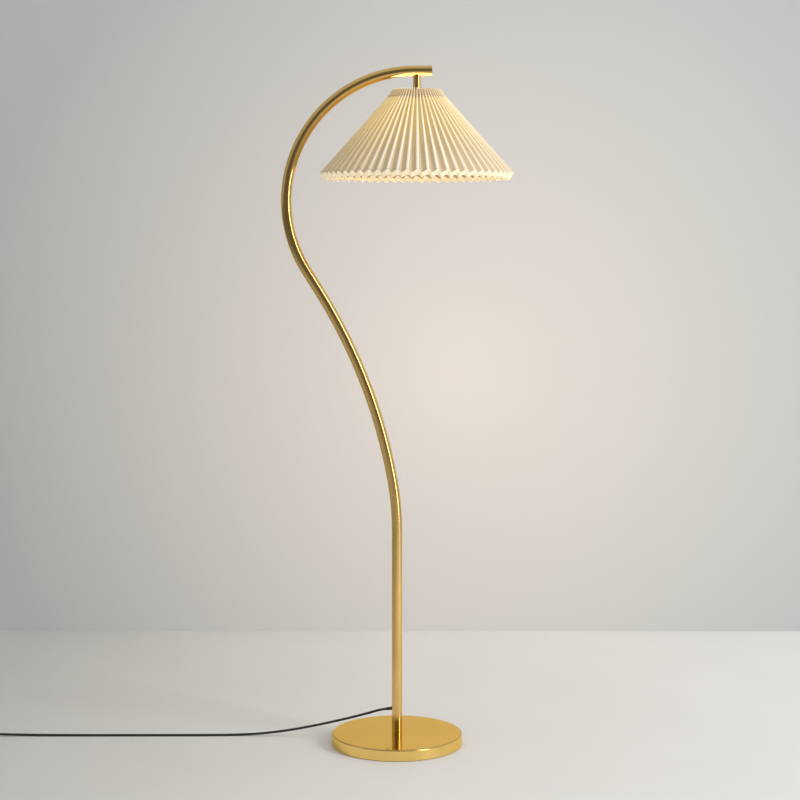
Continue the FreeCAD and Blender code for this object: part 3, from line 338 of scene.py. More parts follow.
def fold_depth(radius):
    """The pleat's depth from the cloth in one face and the face's mean run round the axis."""
    pitch = 2 * math.pi * radius / PLEATS
    face = (CLOTH_PER_PLEAT - CREST_HALF * pitch) / 2
    run = (1 - CREST_HALF) / 2 * pitch
    return np.sqrt(np.maximum(face**2 - run**2, 0))


collar_way = unit(COLLAR_FOOT - COLLAR_TOP)
cone_way = unit(RIM - COLLAR_FOOT)
crease_in = unit(inward(collar_way) + inward(cone_way))
rim_valley = RIM + fold_depth(RIM[0]) * inward(cone_way) + RIM_VALLEY_RUN * cone_way
lip_end = RIM + LIP_WIDTH * LIP_SLOPE
crest_line = np.array([COLLAR_TOP, COLLAR_FOOT, RIM, lip_end])
valley_line = np.array([
    COLLAR_TOP + fold_depth(COLLAR_TOP[0]) * inward(collar_way),
    COLLAR_FOOT + fold_depth(COLLAR_FOOT[0]) * crease_in,
    rim_valley,
    lip_end - LIP_FOLD * inward(LIP_SLOPE),
])
print("fold depth at collar and rim, mm", np.round(fold_depth(np.array([COLLAR_FOOT[0], RIM[0]])) / MM, 1))
print("lowest cloth", round(float(valley_line[-1, 1]), 4))

# %% [markdown]
# ### Down the cloth
# The rows are evenly spaced in each section. Between its creases a face sags a hair's breadth, as pressed
# cloth does.

# %% Rows
ROWS_PER_SECTION = (5, 34, 7)
FACE_SAG = 0.3 * MM
SAG_INWARD = 0.74
SAG_DOWNWARD = 0.67


def along(line):
    """Points down a line of corners, evenly spaced in each section between two corners."""
    parts = [
        line[k] + (line[k + 1] - line[k]) * np.linspace(0, 1, n, endpoint=False)[:, None]
        for k, n in enumerate(ROWS_PER_SECTION)
    ]
    return np.concatenate(parts + [line[-1:]])


# %% [markdown]
# ### The cloth itself
# A row is one height down the cloth. Its crest point and valley point are known, and every column between
# them is a straight blend of the two, placed at its own angle round the axis.

# %% Make the cloth
def shade_points():
    """Blend crest and valley lines by the column's share, then turn the (radius, height) pairs round."""
    _, turn, share = pleat_columns()
    crest = along(crest_line)[:, None, :]
    valley = along(valley_line)[:, None, :]
    place = crest + (valley - crest) * share[None, :, None]
    middle = 4 * share * (1 - share)
    down = np.linspace(0, 1, len(place))
    belly = FACE_SAG * middle[None, :] * np.sin(np.pi * down)[:, None]
    radius = place[..., 0] - belly * SAG_INWARD
    angle = 2 * np.pi * turn[None, :]
    x = SHADE_AXIS_X + radius * np.sin(angle)
    y = -radius * np.cos(angle)
    return np.stack([x, y, place[..., 1] - belly * SAG_DOWNWARD], axis=-1)


cloth_points = shade_points()
shade_cloth, cloth_quads = grid_mesh("shade_cloth", cloth_points, close_across=True)
print("cloth faces", len(cloth_quads), "lowest", round(float(cloth_points[..., 2].min()), 4))

# %% [markdown]
# ### A map of the cloth
# The weave and the painted warm glow both follow the cloth, not the room. The map holds metres: across the
# strip as it lay flat, and down from its top edge. A second number, the fold, says how far each point lies
# from a crest towards a valley, where less of the room's light reaches; the finish paints shade there. A
# third, the crest highlight share, says how squarely a crest meets that light: the crests in front get
# painted highlights as pale lines, and round the sides they fade.

# %% Unroll the cloth into its map
CLOTH_LENGTH = PLEATS * CLOTH_PER_PLEAT
CLOTH_HEIGHT = float(np.linalg.norm(np.diff(crest_line, axis=0), axis=1).sum())
# How strong the painted crest highlight is, round the lamp and on the collar.
HIGHLIGHT_SIDES = (-0.62, -0.40, 0.26, 0.52)
HIGHLIGHT_SHARES = (0, 1, 1, 0.45)
COLLAR_HIGHLIGHT = 0.3


def cloth_map(piece, quads):
    """Column j lies at its phase along the flat strip, row i at its distance down the crest line."""
    rows, columns = cloth_points.shape[:2]
    phase, turn, share = pleat_columns()
    down = np.concatenate([[0], np.cumsum(np.linalg.norm(np.diff(along(crest_line), axis=0), axis=1))])
    corner_column = quads % columns
    across = phase[corner_column] * CLOTH_PER_PLEAT / 2
    last_face = (corner_column == 0) & (corner_column.max(axis=1, keepdims=True) == columns - 1)
    across = np.where(last_face, CLOTH_LENGTH, across)
    layer = piece.data.uv_layers.new(name="cloth")
    flat = np.stack([across, down[quads // columns]], axis=-1)
    layer.data.foreach_set("uv", flat.reshape(-1).astype(np.float32))
    fold = piece.data.attributes.new("fold", "FLOAT", "POINT")
    fold.data.foreach_set("value", np.tile(share, rows).astype(np.float32))
    square = np.interp(np.sin(2 * np.pi * turn), HIGHLIGHT_SIDES, HIGHLIGHT_SHARES)
    by_row = np.where(down < down[ROWS_PER_SECTION[0]], COLLAR_HIGHLIGHT, 1)
    crest_highlight_share = piece.data.attributes.new("crest_highlight_share", "FLOAT", "POINT")
    crest_highlight_share.data.foreach_set("value", (by_row[:, None] * square).reshape(-1).astype(np.float32))


cloth_map(shade_cloth, cloth_quads)
wall = shade_cloth.modifiers.new("thickness", "SOLIDIFY")
wall.thickness = CLOTH_THICKNESS
wall.offset = 0
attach(shade_cloth, "shade_unit")
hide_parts("shade")
print("strip", round(CLOTH_LENGTH, 3), "m long,", round(CLOTH_HEIGHT, 4), "m wide")

# %% [markdown]
# ### The drawstring
# At the collar crease a thin thread runs round and holds the pleats together. It lies on the ridges and dips
# a little between them. It is a small tube carried round a closed path whose radius goes in and out with the
# pleats.

# %% Make the drawstring
THREAD_RADIUS = 0.45 * MM
THREAD_DIP = 1.1 * MM
THREAD_SIDES = 6
THREAD_PROUD = 0.6
THREAD_POINTS_PER_PLEAT = 8


def thread_points():
    """A circle of thread round a ring: the ring's radius is the crease's, less a dip between ridges."""
    count = PLEATS * THREAD_POINTS_PER_PLEAT
    turn = np.arange(count) / count
    dip = THREAD_DIP * (0.5 - 0.5 * np.cos(2 * np.pi * PLEATS * turn))
    ring = COLLAR_FOOT[0] + THREAD_RADIUS * THREAD_PROUD - dip
    side = 2 * np.pi * np.arange(THREAD_SIDES) / THREAD_SIDES
    radius = ring[None, :] + THREAD_RADIUS * np.cos(side)[:, None]
    height = COLLAR_FOOT[1] + THREAD_RADIUS * np.sin(side)[:, None] + 0 * radius
    angle = 2 * np.pi * turn[None, :]
    points = np.stack([SHADE_AXIS_X + radius * np.sin(angle), -radius * np.cos(angle), height], axis=-1)
    return np.concatenate([points, points[:1]])


drawstring, _ = grid_mesh("shade_drawstring", thread_points()[::-1], close_across=True)
close_poles(drawstring)
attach(drawstring, "shade_unit")
print("drawstring faces", len(drawstring.data.polygons))


# %% [markdown]
# ## Finishes
# Each finish is one Principled shader with a few nodes that vary it: colour, roughness and a fine bump. The
# helper below keeps each finish to a handful of lines. Patterns read Object coordinates, which here are the
# lamp's own metres, or the cloth's map.

# %% The helper that every finish uses
class Finish:
    """One Principled material, with short ways to vary it over the surface."""

    def __init__(self, name, colour, roughness, metallic=0.0, **plain):
        self.material = bpy.data.materials.new(name)
        self.material.use_nodes = True
        self.tree = self.material.node_tree
        self.shader = self.tree.nodes["Principled BSDF"]
        self.set("Base Color", (*colour, 1))
        self.set("Roughness", roughness)
        self.set("Metallic", metallic)
        for socket, value in plain.items():
            self.set(socket.replace("_", " "), value)

    def set(self, socket, value):
        self.shader.inputs[socket].default_value = value

    def node(self, kind, attributes=None, **inputs):
        made = self.tree.nodes.new("ShaderNode" + kind)
        for key, value in (attributes or {}).items():
            setattr(made, key, value)
        for key, value in inputs.items():
            socket = made.inputs[key.replace("_", " ")]
            if isinstance(value, bpy.types.NodeSocket):
                self.tree.links.new(value, socket)
            else:
                socket.default_value = value
        return made

    def place(self, scale=(1, 1, 1), source="Object"):
        """Coordinates in metres, stretched by scale."""
        coordinates = self.node("TexCoord").outputs[source]
        return self.node("Mapping", Vector=coordinates, Scale=scale).outputs["Vector"]

    def noise(self, scale, detail=3.0, roughness=0.5, stretch=(1, 1, 1), source="Object"):
        return self.node(
            "TexNoise", Vector=self.place(stretch, source), Scale=scale, Detail=detail, Roughness=roughness
        ).outputs["Fac"]

    def ramp(self, value, stops):
        """A colour for each value, blended between the stops (position, colour)."""
        made = self.node("ValToRGB", Fac=value)
        elements = made.color_ramp.elements
        while len(elements) < len(stops):
            elements.new(0.5)
        for element, (position, colour) in zip(elements, stops):
            element.position = position
            element.color = (*colour, 1)
        return made.outputs["Color"]

    def between(self, value, low, high):
        """The value's 0.3 to 0.7 spread over low to high."""
        made = self.node("MapRange", Value=value)
        for key, number in zip(("From Min", "From Max", "To Min", "To Max"), (0.3, 0.7, low, high)):
            made.inputs[key].default_value = number
        return made.outputs["Result"]

    def mix(self, factor, first, second, blend_type="MIX"):
        """Two colours mixed by a factor, a number or a socket."""
        made = self.node("Mix", {"data_type": "RGBA", "blend_type": blend_type})
        colours = [socket for socket in made.inputs if socket.type == "RGBA"]
        for socket, value in zip([made.inputs["Factor"]] + colours, (factor, first, second)):
            if isinstance(value, bpy.types.NodeSocket):
                self.tree.links.new(value, socket)
            else:
                socket.default_value = value
        return next(socket for socket in made.outputs if socket.type == "RGBA")

    def drive(self, socket, value):
        self.tree.links.new(value, self.shader.inputs[socket])

    def bump(self, height, strength, depth_mm):
        made = self.node("Bump", Height=height, Strength=strength, Distance=depth_mm * MM)
        self.drive("Normal", made.outputs["Normal"])


def dress(finish, *names):
    """Give CAD nodes this finish."""
    for piece in nodes(names):
        if not piece.material_slots:
            piece.data.materials.append(None)
        for slot in piece.material_slots:
            slot.material = finish.material


def shade_of(colour, factor):
    """The same colour, darker or lighter."""
    return tuple(min(1.0, c * factor) for c in colour)


# %% [markdown]
# ### Brass
# The tube is drawn brass, polished and lacquered: it mirrors the room, with faint cloudy marks from the
# polishing wheel. The base cover is spun, so its marks are circles round the pole, and its rounded rim is
# painted darker: a painted shade that stands in for the dark line the rim mirrors. A real alloy isn't one
# flat colour, so a slow noise makes it a little darker and lighter.

# %% Polished tube
BRASS = (0.86, 0.58, 0.21)
BRASS_EDGE = (1.0, 0.85, 0.50, 1)


def polished_brass(name, roughness, rim_shade_and_tone):
    finish = Finish(name, BRASS, roughness, metallic=1.0, Specular_Tint=BRASS_EDGE)
    cloud = finish.noise(7, detail=4)
    finish.drive("Base Color", finish.ramp(cloud, [(0.3, shade_of(BRASS, 0.93)), (0.7, shade_of(BRASS, 1.05))]))
    marks = finish.noise(60, detail=5, roughness=0.6)
    finish.drive("Roughness", finish.between(marks, roughness - rim_shade_and_tone, roughness + rim_shade_and_tone))
    finish.bump(finish.noise(900, detail=2), 0.05, 0.02)
    return finish


tube_brass = polished_brass("brass_tube", 0.17, 0.04)
dress(tube_brass, "pole_tube", "arm_tube", "arm_cap", "joint_socket", "joint_stud", "drop_stem")
dress(polished_brass("brass_fitting", 0.24, 0.06), "stem_bush", "stem_nipple", "nipple_nut", "screw_shell")


# %% Spun base cover
SPUN_BRASS = (1.0, 0.69, 0.24)


RINGS_PER_METRE = 2600
SIDE_TONE = (1.0, 0.99, 0.92)
RIM_PAINTED_SHADE = (0.62, 0.60, 0.58)
TOP_TONE = (0.88, 0.87, 0.87)
COVER_RIM = (22 * MM, 24.98 * MM)


def spun_brass():
    """Rings round the pole: the distance from the axis feeds a noise, so that each ring is one shade.

    The height from the foot of the rounding to its top sets the tone: a painted shade on the rounded rim for the
    dark line it mirrors, and slightly different tones on the side and on the top.
    """
    finish = Finish("brass_spun", SPUN_BRASS, 0.1, metallic=1.0, Specular_Tint=BRASS_EDGE)
    flat = finish.node("VectorMath", {"operation": "MULTIPLY"})
    finish.tree.links.new(finish.place(), flat.inputs[0])
    flat.inputs[1].default_value = (1, 1, 0)
    distance = finish.node("VectorMath", {"operation": "LENGTH"})
    finish.tree.links.new(flat.outputs["Vector"], distance.inputs[0])
    rings = finish.node(
        "TexNoise", {"noise_dimensions": "1D"}, W=distance.outputs["Value"], Scale=RINGS_PER_METRE, Detail=3
    )
    cloud = finish.noise(9, detail=3)
    tone = finish.ramp(cloud, [(0.3, shade_of(SPUN_BRASS, 0.96)), (0.7, shade_of(SPUN_BRASS, 1.03))])
    height = finish.node("SeparateXYZ", Vector=finish.place()).outputs["Z"]
    up_the_rim = finish.node("MapRange", Value=height)
    up_the_rim.inputs["From Min"].default_value, up_the_rim.inputs["From Max"].default_value = COVER_RIM
    # Painted shade: the rounded rim is darkened to stand for the dark line it mirrors, which also dims the glint
    # there.
    rim_shade_and_tone = finish.ramp(up_the_rim.outputs["Result"], [
        (0.0, SIDE_TONE), (0.5, SIDE_TONE), (0.75, RIM_PAINTED_SHADE), (0.96, RIM_PAINTED_SHADE), (1.0, TOP_TONE),
    ])
    finish.drive("Base Color", finish.mix(1.0, tone, rim_shade_and_tone, "MULTIPLY"))
    finish.drive("Roughness", finish.between(rings.outputs["Fac"], 0.09, 0.15))
    finish.bump(rings.outputs["Fac"], 0.04, 0.01)
    return finish


dress(spun_brass(), "base_cover")


# %% [markdown]
# ### Hidden metal and felt
# Under the cover sits a cast iron weight on a felt pad, held by a zinc-plated bolt. They show only from
# below, but they have their own look: rough grey casting, fuzzy felt, and bluish zinc.

# %% Iron, felt, steel
def cast_iron():
    finish = Finish("iron_cast", (0.06, 0.058, 0.055), 0.75, metallic=0.4)
    grain = finish.noise(420, detail=5, roughness=0.65)
    finish.drive("Base Color", finish.ramp(grain, [(0.3, (0.035, 0.034, 0.033)), (0.7, (0.09, 0.086, 0.08))]))
    finish.bump(grain, 0.6, 0.4)
    return finish


def pressed_felt():
    finish = Finish("felt_pressed", (0.05, 0.05, 0.05), 0.95, Sheen_Weight=0.3, Sheen_Roughness=0.5)
    fibres = finish.noise(1500, detail=5, roughness=0.7)
    finish.drive("Base Color", finish.ramp(fibres, [(0.3, (0.025, 0.025, 0.027)), (0.7, (0.085, 0.085, 0.085))]))
    finish.bump(fibres, 0.7, 0.3)
    return finish


def zinc_plate(name, colour):
    finish = Finish(name, colour, 0.32, metallic=1.0)
    spangle = finish.noise(250, detail=3)
    finish.drive("Base Color", finish.ramp(spangle, [(0.3, shade_of(colour, 0.85)), (0.7, shade_of(colour, 1.1))]))
    finish.drive("Roughness", finish.between(spangle, 0.25, 0.42))
    finish.bump(spangle, 0.15, 0.05)
    return finish


dress(cast_iron(), "base_weight")
dress(pressed_felt(), "base_felt")
dress(zinc_plate("zinc_plate", (0.55, 0.56, 0.58)), "base_bolt", "base_washer", "terminal_screws", "switch_screws",
      "centre_contact", "switch_contacts", "switch_spring")
dress(zinc_plate("nickel_plate", (0.72, 0.70, 0.66)), "plug_pins", "bulb_cap", "bulb_tip")


# %% [markdown]
# ### Plastics, rubber and ceramic
# The lead has a smooth flexible sheath with a soft shine. Moulded parts have a fine spark-eroded texture,
# the button is glossy, and the lamp holder is pressed phenolic with a faint mottle. Each is the same recipe
# with its own grain, depth and gloss.

# %% Moulded materials
def moulded(name, colour, roughness, grain_scale, depth_mm, strength=0.3):
    finish = Finish(name, colour, roughness)
    grain = finish.noise(grain_scale, detail=4, roughness=0.6)
    slow = finish.noise(22, detail=2)
    finish.drive("Base Color", finish.ramp(slow, [(0.3, shade_of(colour, 0.8)), (0.7, shade_of(colour, 1.25))]))
    finish.drive("Roughness", finish.between(grain, roughness - 0.06, roughness + 0.08))
    finish.bump(grain, strength, depth_mm)
    return finish


cord_sheath = moulded("cord_sheath", (0.012, 0.012, 0.013), 0.42, 700, 0.03, 0.15)
for lead in (near_lead, far_lead):
    lead.data.materials.append(cord_sheath.material)
dress(cord_sheath, "lead_inside", "cord_to_switch", "cord_to_coil", "cord_to_plug", "cord_coil")
dress(moulded("rubber_soft", (0.016, 0.016, 0.017), 0.6, 500, 0.06),
      "cord_bush", "plug_body", "plug_relief", "foot_bush")
dress(moulded("tie_strap", (0.022, 0.022, 0.023), 0.55, 350, 0.12, 0.5), "coil_tie")
dress(moulded("switch_shell", (0.02, 0.02, 0.021), 0.5, 900, 0.05), "switch_base", "switch_cover")
dress(moulded("button_gloss", (0.026, 0.026, 0.028), 0.22, 300, 0.01, 0.1), "switch_button")
dress(moulded("holder_phenolic", (0.024, 0.022, 0.02), 0.36, 400, 0.03), "holder_cap", "holder_body", "clamp_ring")
dress(moulded("holder_ceramic", (0.74, 0.71, 0.65), 0.7, 350, 0.08), "holder_core")
dress(moulded("carrier_enamel", (0.78, 0.76, 0.70), 0.38, 260, 0.04), "shade_hub", "shade_hoop", "shade_arms")
dress(moulded("insulator_glass", (0.012, 0.012, 0.02), 0.1, 200, 0.01, 0.1), "bulb_insulator")


# %% [markdown]
# ### The bulb
# An opal globe hides its light source: the whole glass glows warm, brightest in the middle of the globe and
# dimmer at the neck. A glass shader with a small lamp inside would be truer and far noisier, so the glass
# itself gives off the light.

# %% Glowing opal glass
BULB_WARM = (1.0, 0.93, 0.80)
BULB_STRENGTH = 10.0
bulb_low, bulb_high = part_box("bulb_glass")


def opal_glass(name, strength):
    finish = Finish(name, (0.9, 0.86, 0.78), 0.3, Emission_Strength=strength)
    height = finish.node("SeparateXYZ", Vector=finish.place()).outputs["Z"]
    up = finish.node("MapRange", Value=height)
    up.inputs["From Min"].default_value = bulb_low.z
    up.inputs["From Max"].default_value = bulb_high.z
    finish.drive("Emission Color", finish.ramp(up.outputs["Result"], [
        (0.0, shade_of(BULB_WARM, 0.85)), (0.35, BULB_WARM), (0.75, shade_of(BULB_WARM, 0.5)),
        (1.0, shade_of(BULB_WARM, 0.2)),
    ]))
    finish.drive("Roughness", finish.between(finish.noise(120), 0.25, 0.36))
    return finish


dress(opal_glass("bulb_opal", BULB_STRENGTH), "bulb_glass", "bulb_light")


# %% [markdown]
# ### The cloth
# Cream cloth on a stiff backing, lit from inside. Its crests carry painted highlights and its faces painted
# shade. The light through the cloth is painted in as a glow: strongest in the upper half of the cone, it fades
# towards the rim and comes back on the lip, which faces the floor and catches the bulb from within, and the lip
# is painted paler, with painted highlights on its ridges. The collar is several layers thick, so its painted
# glow and crest highlights are duller. Threads run across and down the strip.

# %% Woven, glowing cloth
CREST_CREAM_LIT = (0.72, 0.665, 0.55)
FACE_TAN_SHADED = (0.51, 0.42, 0.275)
LIP_CREAM_LIT = (0.83, 0.69, 0.47)
LIP_RIDGE_HIGHLIGHT = (0.98, 0.89, 0.73)
PAINTED_GLOW_STRENGTH = 0.40
WAVES_PER_METRE = 90


def woven_cloth():
    finish = Finish("cloth_pleated", FACE_TAN_SHADED, 0.85, Emission_Strength=PAINTED_GLOW_STRENGTH, Sheen_Weight=0.1,
                    Specular_IOR_Level=0.25)
    cloth = finish.place(source="UV")
    split = finish.node("SeparateXYZ", Vector=cloth)
    down = finish.node("MapRange", Value=split.outputs["Y"])
    down.inputs["From Max"].default_value = CLOTH_HEIGHT
    # Painted glow standing in for the bulb's light through the cloth: dull on the collar, strongest high on the
    # cone, darkest just above the lip, bright on the lip.
    finish.drive("Emission Color", finish.ramp(down.outputs["Result"], [
        (0.0, (0.37, 0.23, 0.08)), (0.07, (0.31, 0.19, 0.06)), (0.10, (0.76, 0.52, 0.11)),
        (0.35, (0.62, 0.41, 0.09)), (0.7, (0.24, 0.15, 0.035)), (0.925, (0.15, 0.095, 0.025)),
        (0.938, (1.0, 0.84, 0.56)), (1.0, (1.0, 0.84, 0.57)),
    ]))
    fold = finish.node("Attribute", {"attribute_name": "fold"}).outputs["Fac"]
    # Painted highlight and shade: pale crests in front, painted shade just beside them, tan faces.
    front_highlight_and_shade = finish.ramp(fold, [
        (0.0, CREST_CREAM_LIT), (0.05, CREST_CREAM_LIT), (0.12, shade_of(FACE_TAN_SHADED, 0.86)), (0.5, FACE_TAN_SHADED),
        (1.0, shade_of(FACE_TAN_SHADED, 1.02)),
    ])
    # Round the sides the painted crest highlight fades to a slightly lighter face colour.
    side_painted_light = finish.ramp(fold, [(0.0, shade_of(FACE_TAN_SHADED, 1.22)), (0.2, shade_of(FACE_TAN_SHADED, 1.12))])
    crest_highlight_share = finish.node("Attribute", {"attribute_name": "crest_highlight_share"}).outputs["Fac"]
    depth = finish.mix(crest_highlight_share, side_painted_light, front_highlight_and_shade)
    # Painted light on the lip: paler cream, with painted highlights on its ridges.
    lip = finish.ramp(fold, [(0.0, LIP_RIDGE_HIGHLIGHT), (0.05, LIP_RIDGE_HIGHLIGHT), (0.2, LIP_CREAM_LIT), (1.0, LIP_CREAM_LIT)])
    slub = finish.noise(30, detail=3, stretch=(1, 6, 1), source="UV")
    tint = finish.ramp(slub, [(0.3, (0.95, 0.95, 0.95)), (0.7, (1.0, 1.0, 1.0))])
    on_lip = finish.ramp(down.outputs["Result"], [(0.93, (0, 0, 0)), (0.938, (1, 1, 1))])
    finish.drive("Base Color", finish.mix(on_lip, finish.mix(1.0, depth, tint, "MULTIPLY"), lip))
    weft = finish.node("TexWave", {"bands_direction": "X"}, Vector=cloth, Scale=WAVES_PER_METRE, Distortion=0.4)
    warp = finish.node("TexWave", {"bands_direction": "Y"}, Vector=cloth, Scale=WAVES_PER_METRE, Distortion=0.4)
    weave = finish.node("Math", {"operation": "MULTIPLY"})
    finish.tree.links.new(weft.outputs["Fac"], weave.inputs[0])
    finish.tree.links.new(warp.outputs["Fac"], weave.inputs[1])
    finish.bump(weave.outputs["Value"], 0.2, 0.08)
    return finish


shade_cloth.data.materials.append(woven_cloth().material)
drawstring.data.materials.append(moulded("thread_cotton", (0.45, 0.36, 0.24), 0.9, 900, 0.1).material)


# %% [markdown]
# ## The studio
# A pale floor meets a pale wall behind the lamp. Each is seen only from its front, so that the lamp can also
# be looked at from behind and from below. The floor gets a painted shade to the left, as in a room lit from
# the right, and gets darker far from the lamp; the wall gets a painted pool of warm light in its middle.
# Neither belongs to the lamp.

# %% Floor and wall
WALL_Y = 1.12
STUDIO_HALF_WIDTH = 60.0
STUDIO_DEPTH = 60.0
WALL_TOP = 7.0


def stage_sheet(name, corners, material):
    mesh = bpy.data.meshes.new(name)
    mesh.from_pydata(corners, [], [tuple(range(len(corners)))])
    mesh.materials.append(material)
    piece = bpy.data.objects.new(name, mesh)
    bpy.context.scene.collection.objects.link(piece)
    return piece


def clear_from_behind(finish):
    """Show the finish on the front of a sheet and nothing on its back."""
    clear = finish.node("BsdfTransparent")
    mix = finish.node("MixShader", Fac=finish.node("NewGeometry").outputs["Backfacing"])
    finish.tree.links.new(finish.shader.outputs["BSDF"], mix.inputs[1])
    finish.tree.links.new(clear.outputs["BSDF"], mix.inputs[2])
    finish.tree.links.new(mix.outputs["Shader"], finish.tree.nodes["Material Output"].inputs["Surface"])
    return finish.material


def from_left_to_right(finish, painted_shading):
    """A colour that changes slowly across the picture: painted light and shade, as in a room lit from the right.
    """
    across = finish.node("SeparateXYZ", Vector=finish.node("TexCoord").outputs["Object"])
    share = finish.node("MapRange", Value=across.outputs["X"])
    share.inputs["From Min"].default_value = -1.0
    return finish.ramp(share.outputs["Result"], painted_shading)


FLOOR_REACH = 7.0
FAR_FLOOR = (0.45, 0.45, 0.45)
MIDDLE_FLOOR = (0.52, 0.52, 0.52)
# Painted shade: the floor darker to the left, as if lit from the right; the wall's tones vary only a little.
FLOOR_PAINTED_SHADE = [(0.0, (0.47, 0.455, 0.43)), (0.5, (0.655, 0.63, 0.60)), (1.0, (0.69, 0.675, 0.655))]
WALL_PAINTED_SHADE = [(0.0, (0.94, 0.93, 0.91)), (0.5, (0.96, 0.955, 0.95)), (1.0, (0.93, 0.94, 0.93))]
WALL_GREY = (0.485, 0.50, 0.50)
WALL_PAINTED_GLOW = (0.84, 0.77, 0.71)
PATCH_SCALE = 0.74
PATCH_HEIGHT = 0.72
PATCH_SHIFT = -0.12


def pale_floor():
    """A pale floor with faint clouds, with a painted shade to the left and darker far from the lamp."""
    finish = Finish("studio_floor", (0.62, 0.60, 0.575), 0.6, Specular_IOR_Level=0.3)
    grain = finish.ramp(finish.noise(3, detail=4), [(0.3, (0.97, 0.97, 0.97)), (0.7, (1.0, 1.0, 1.0))])
    near = finish.mix(1.0, grain, from_left_to_right(finish, FLOOR_PAINTED_SHADE), "MULTIPLY")
    from_lamp = finish.node("Mapping", Vector=finish.node("TexCoord").outputs["Object"])
    from_lamp.inputs["Scale"].default_value = (1 / FLOOR_REACH,) * 3
    closeness = finish.node("TexGradient", {"gradient_type": "SPHERICAL"}, Vector=from_lamp.outputs["Vector"])
    fade = finish.ramp(closeness.outputs["Fac"], [(0.0, FAR_FLOOR), (0.45, MIDDLE_FLOOR), (0.72, (1, 1, 1))])
    finish.drive("Base Color", finish.mix(1.0, near, fade, "MULTIPLY"))
    return clear_from_behind(finish)


def pale_wall():
    """A pale wall with a painted pool of warm light, a faint warm patch, in the middle."""
    finish = Finish("studio_wall", (0.6, 0.6, 0.6), 0.9, Specular_IOR_Level=0.1)
    centred = finish.node("Mapping", Vector=finish.node("TexCoord").outputs["Object"])
    centred.inputs["Scale"].default_value = (PATCH_SCALE,) * 3
    centred.inputs["Location"].default_value = (PATCH_SHIFT, -PATCH_SCALE * WALL_Y, -PATCH_SCALE * PATCH_HEIGHT)
    patch = finish.node("TexGradient", {"gradient_type": "SPHERICAL"}, Vector=centred.outputs["Vector"])
    # Painted light: a warm glow patch in the middle of the wall.
    glow = finish.ramp(patch.outputs["Fac"], [(0.0, WALL_GREY), (1.0, WALL_PAINTED_GLOW)])
    finish.drive("Base Color", finish.mix(1.0, glow, from_left_to_right(finish, WALL_PAINTED_SHADE), "MULTIPLY"))
    return clear_from_behind(finish)


w, d, y, top = STUDIO_HALF_WIDTH, STUDIO_DEPTH, WALL_Y, WALL_TOP
stage_sheet("studio_floor", [(-w, -d, 0), (w, -d, 0), (w, d, 0), (-w, d, 0)], pale_floor())
stage_sheet("studio_wall", [(-w, y, 0), (w, y, 0), (w, y, top), (-w, y, top)], pale_wall())


# %% [markdown]
# ## Light
# A large soft panel at the right lights the right side of each pleat, one overhead evens out the wall and
# floor, and a weak one at the left keeps the shadows open. The brass mirrors none of them: a narrower panel
# of its own draws the bright line down the tube, and a small warm disc in the shade's collar stands for the
# bulb's light on the underside of the arm.

# %% Lamps of the studio
def panel(name, place, target, size, power, seen_in_metal, colour=(1, 1, 1), form="RECTANGLE"):
    """A soft panel: one that lights cloth and floor, or one that only shows as a bright line in the metal."""
    data = bpy.data.lights.new(name, "AREA")
    data.shape = form
    data.size, data.size_y = size
    data.color = colour
    data.energy = power
    light = bpy.data.objects.new(name, data)
    light.location = place
    light.rotation_euler = (Vector(target) - Vector(place)).to_track_quat("-Z", "Y").to_euler()
    light.visible_camera = False
    light.visible_glossy = seen_in_metal
    light.visible_diffuse = not seen_in_metal
    bpy.context.scene.collection.objects.link(light)


panel("panel_right", (7.2, -4.5, 4.4), (0, 0, 0.9), (2.5, 4.2), 640, False)
panel("panel_left", (-4.0, -3.4, 2.4), (0, 0, 0.8), (2.4, 2.4), 12, False)
panel("panel_top", (0.4, -0.6, 5.2), (0.2, 0.4, 0), (4.5, 4.0), 100, False)
panel("glint_right", (4.3, -2.7, 2.0), (0, 0, 0.9), (1.25, 4.2), 75, True)
spill_place = (SHADE_AXIS_X, 0, SHADE_TOP - 2 * MM)
spill_target = (SHADE_AXIS_X, 0, SHADE_TOP + 1)
panel("spill_top", spill_place, spill_target, (0.074, 0.074), 0.045, True, (1.0, 0.86, 0.5), "DISK")

# %% [markdown]
# ### The room around
# Three kinds of ray see the room in three ways. Metal mirrors a room that is dim on the camera's side and
# bright beyond and above, matt surfaces get an even light, and the camera sees a plain pale backdrop.

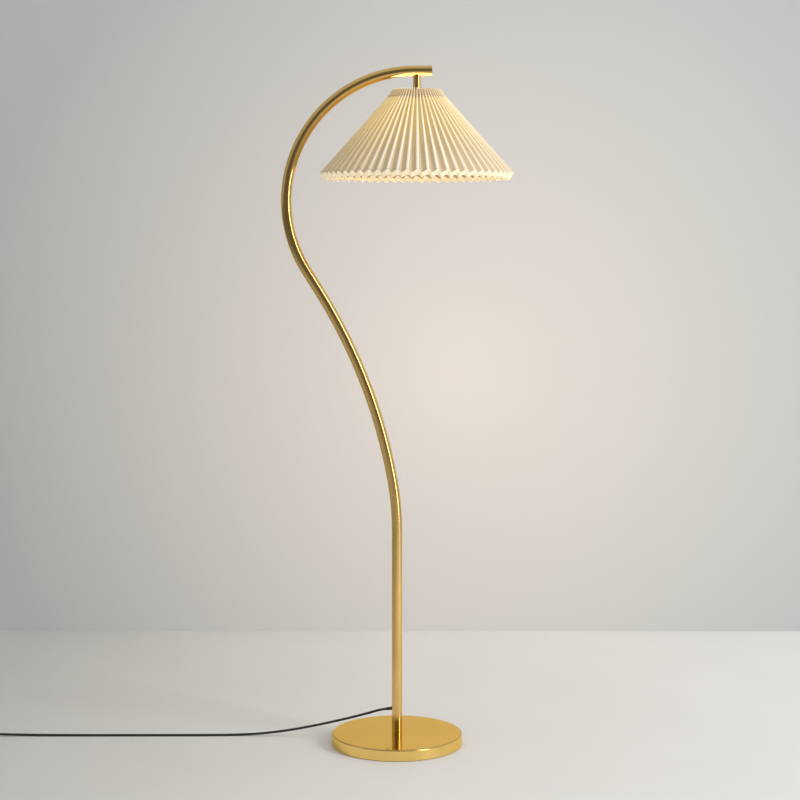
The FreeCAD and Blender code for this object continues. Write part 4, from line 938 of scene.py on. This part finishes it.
# %% World
UPWARD_SHARE = 0.35
MIRROR_SPREAD = 1.1
MIRROR_DIM = (0.10, 0.09, 0.08, 1)
MIRROR_BRIGHT = (0.80, 0.79, 0.77, 1)
MIRROR_LEVELS = ((0.2, 0.14), (0.45, 0.50))
MATT_GREY = (0.45, 0.455, 0.46)
BACKDROP_GREY = (0.56, 0.555, 0.545)
world = bpy.data.worlds.new("room")
world.use_nodes = True
bpy.context.scene.world = world
room = world.node_tree


def room_node(kind, **inputs):
    made = room.nodes.new("ShaderNode" + kind)
    for key, value in inputs.items():
        socket = made.inputs[key.replace("_", " ")]
        if isinstance(value, bpy.types.NodeSocket):
            room.links.new(value, socket)
        else:
            socket.default_value = value
    return made


def backdrop(colour):
    return room_node("Background", Color=(*colour, 1)).outputs["Background"]


way = room_node("SeparateXYZ", Vector=room_node("TexCoord").outputs["Generated"])
tilt = room_node("Math")
tilt.operation = "MULTIPLY_ADD"
room.links.new(way.outputs["Z"], tilt.inputs[0])
tilt.inputs[1].default_value = UPWARD_SHARE
room.links.new(way.outputs["Y"], tilt.inputs[2])
spread = room_node("MapRange", Value=tilt.outputs["Value"])
spread.inputs["From Min"].default_value = -MIRROR_SPREAD
spread.inputs["From Max"].default_value = MIRROR_SPREAD
mirrored = room_node("ValToRGB", Fac=spread.outputs["Result"])
mirrored.color_ramp.elements[0].color = MIRROR_DIM
mirrored.color_ramp.elements[1].color = MIRROR_BRIGHT
for position, level in MIRROR_LEVELS:
    mirrored.color_ramp.elements.new(position).color = (level, level * 0.97, level * 0.93, 1)
glossy = room_node("Background", Color=mirrored.outputs["Color"]).outputs["Background"]
path = room_node("LightPath")
matt_or_metal = room_node("MixShader", Fac=path.outputs["Is Glossy Ray"])
room.links.new(backdrop(MATT_GREY), matt_or_metal.inputs[1])
room.links.new(glossy, matt_or_metal.inputs[2])
seen = room_node("MixShader", Fac=path.outputs["Is Camera Ray"])
room.links.new(matt_or_metal.outputs["Shader"], seen.inputs[1])
room.links.new(backdrop(BACKDROP_GREY), seen.inputs[2])
room.links.new(seen.outputs["Shader"], room.nodes["World Output"].inputs["Surface"])
bpy.context.scene.view_settings.view_transform = "Standard"
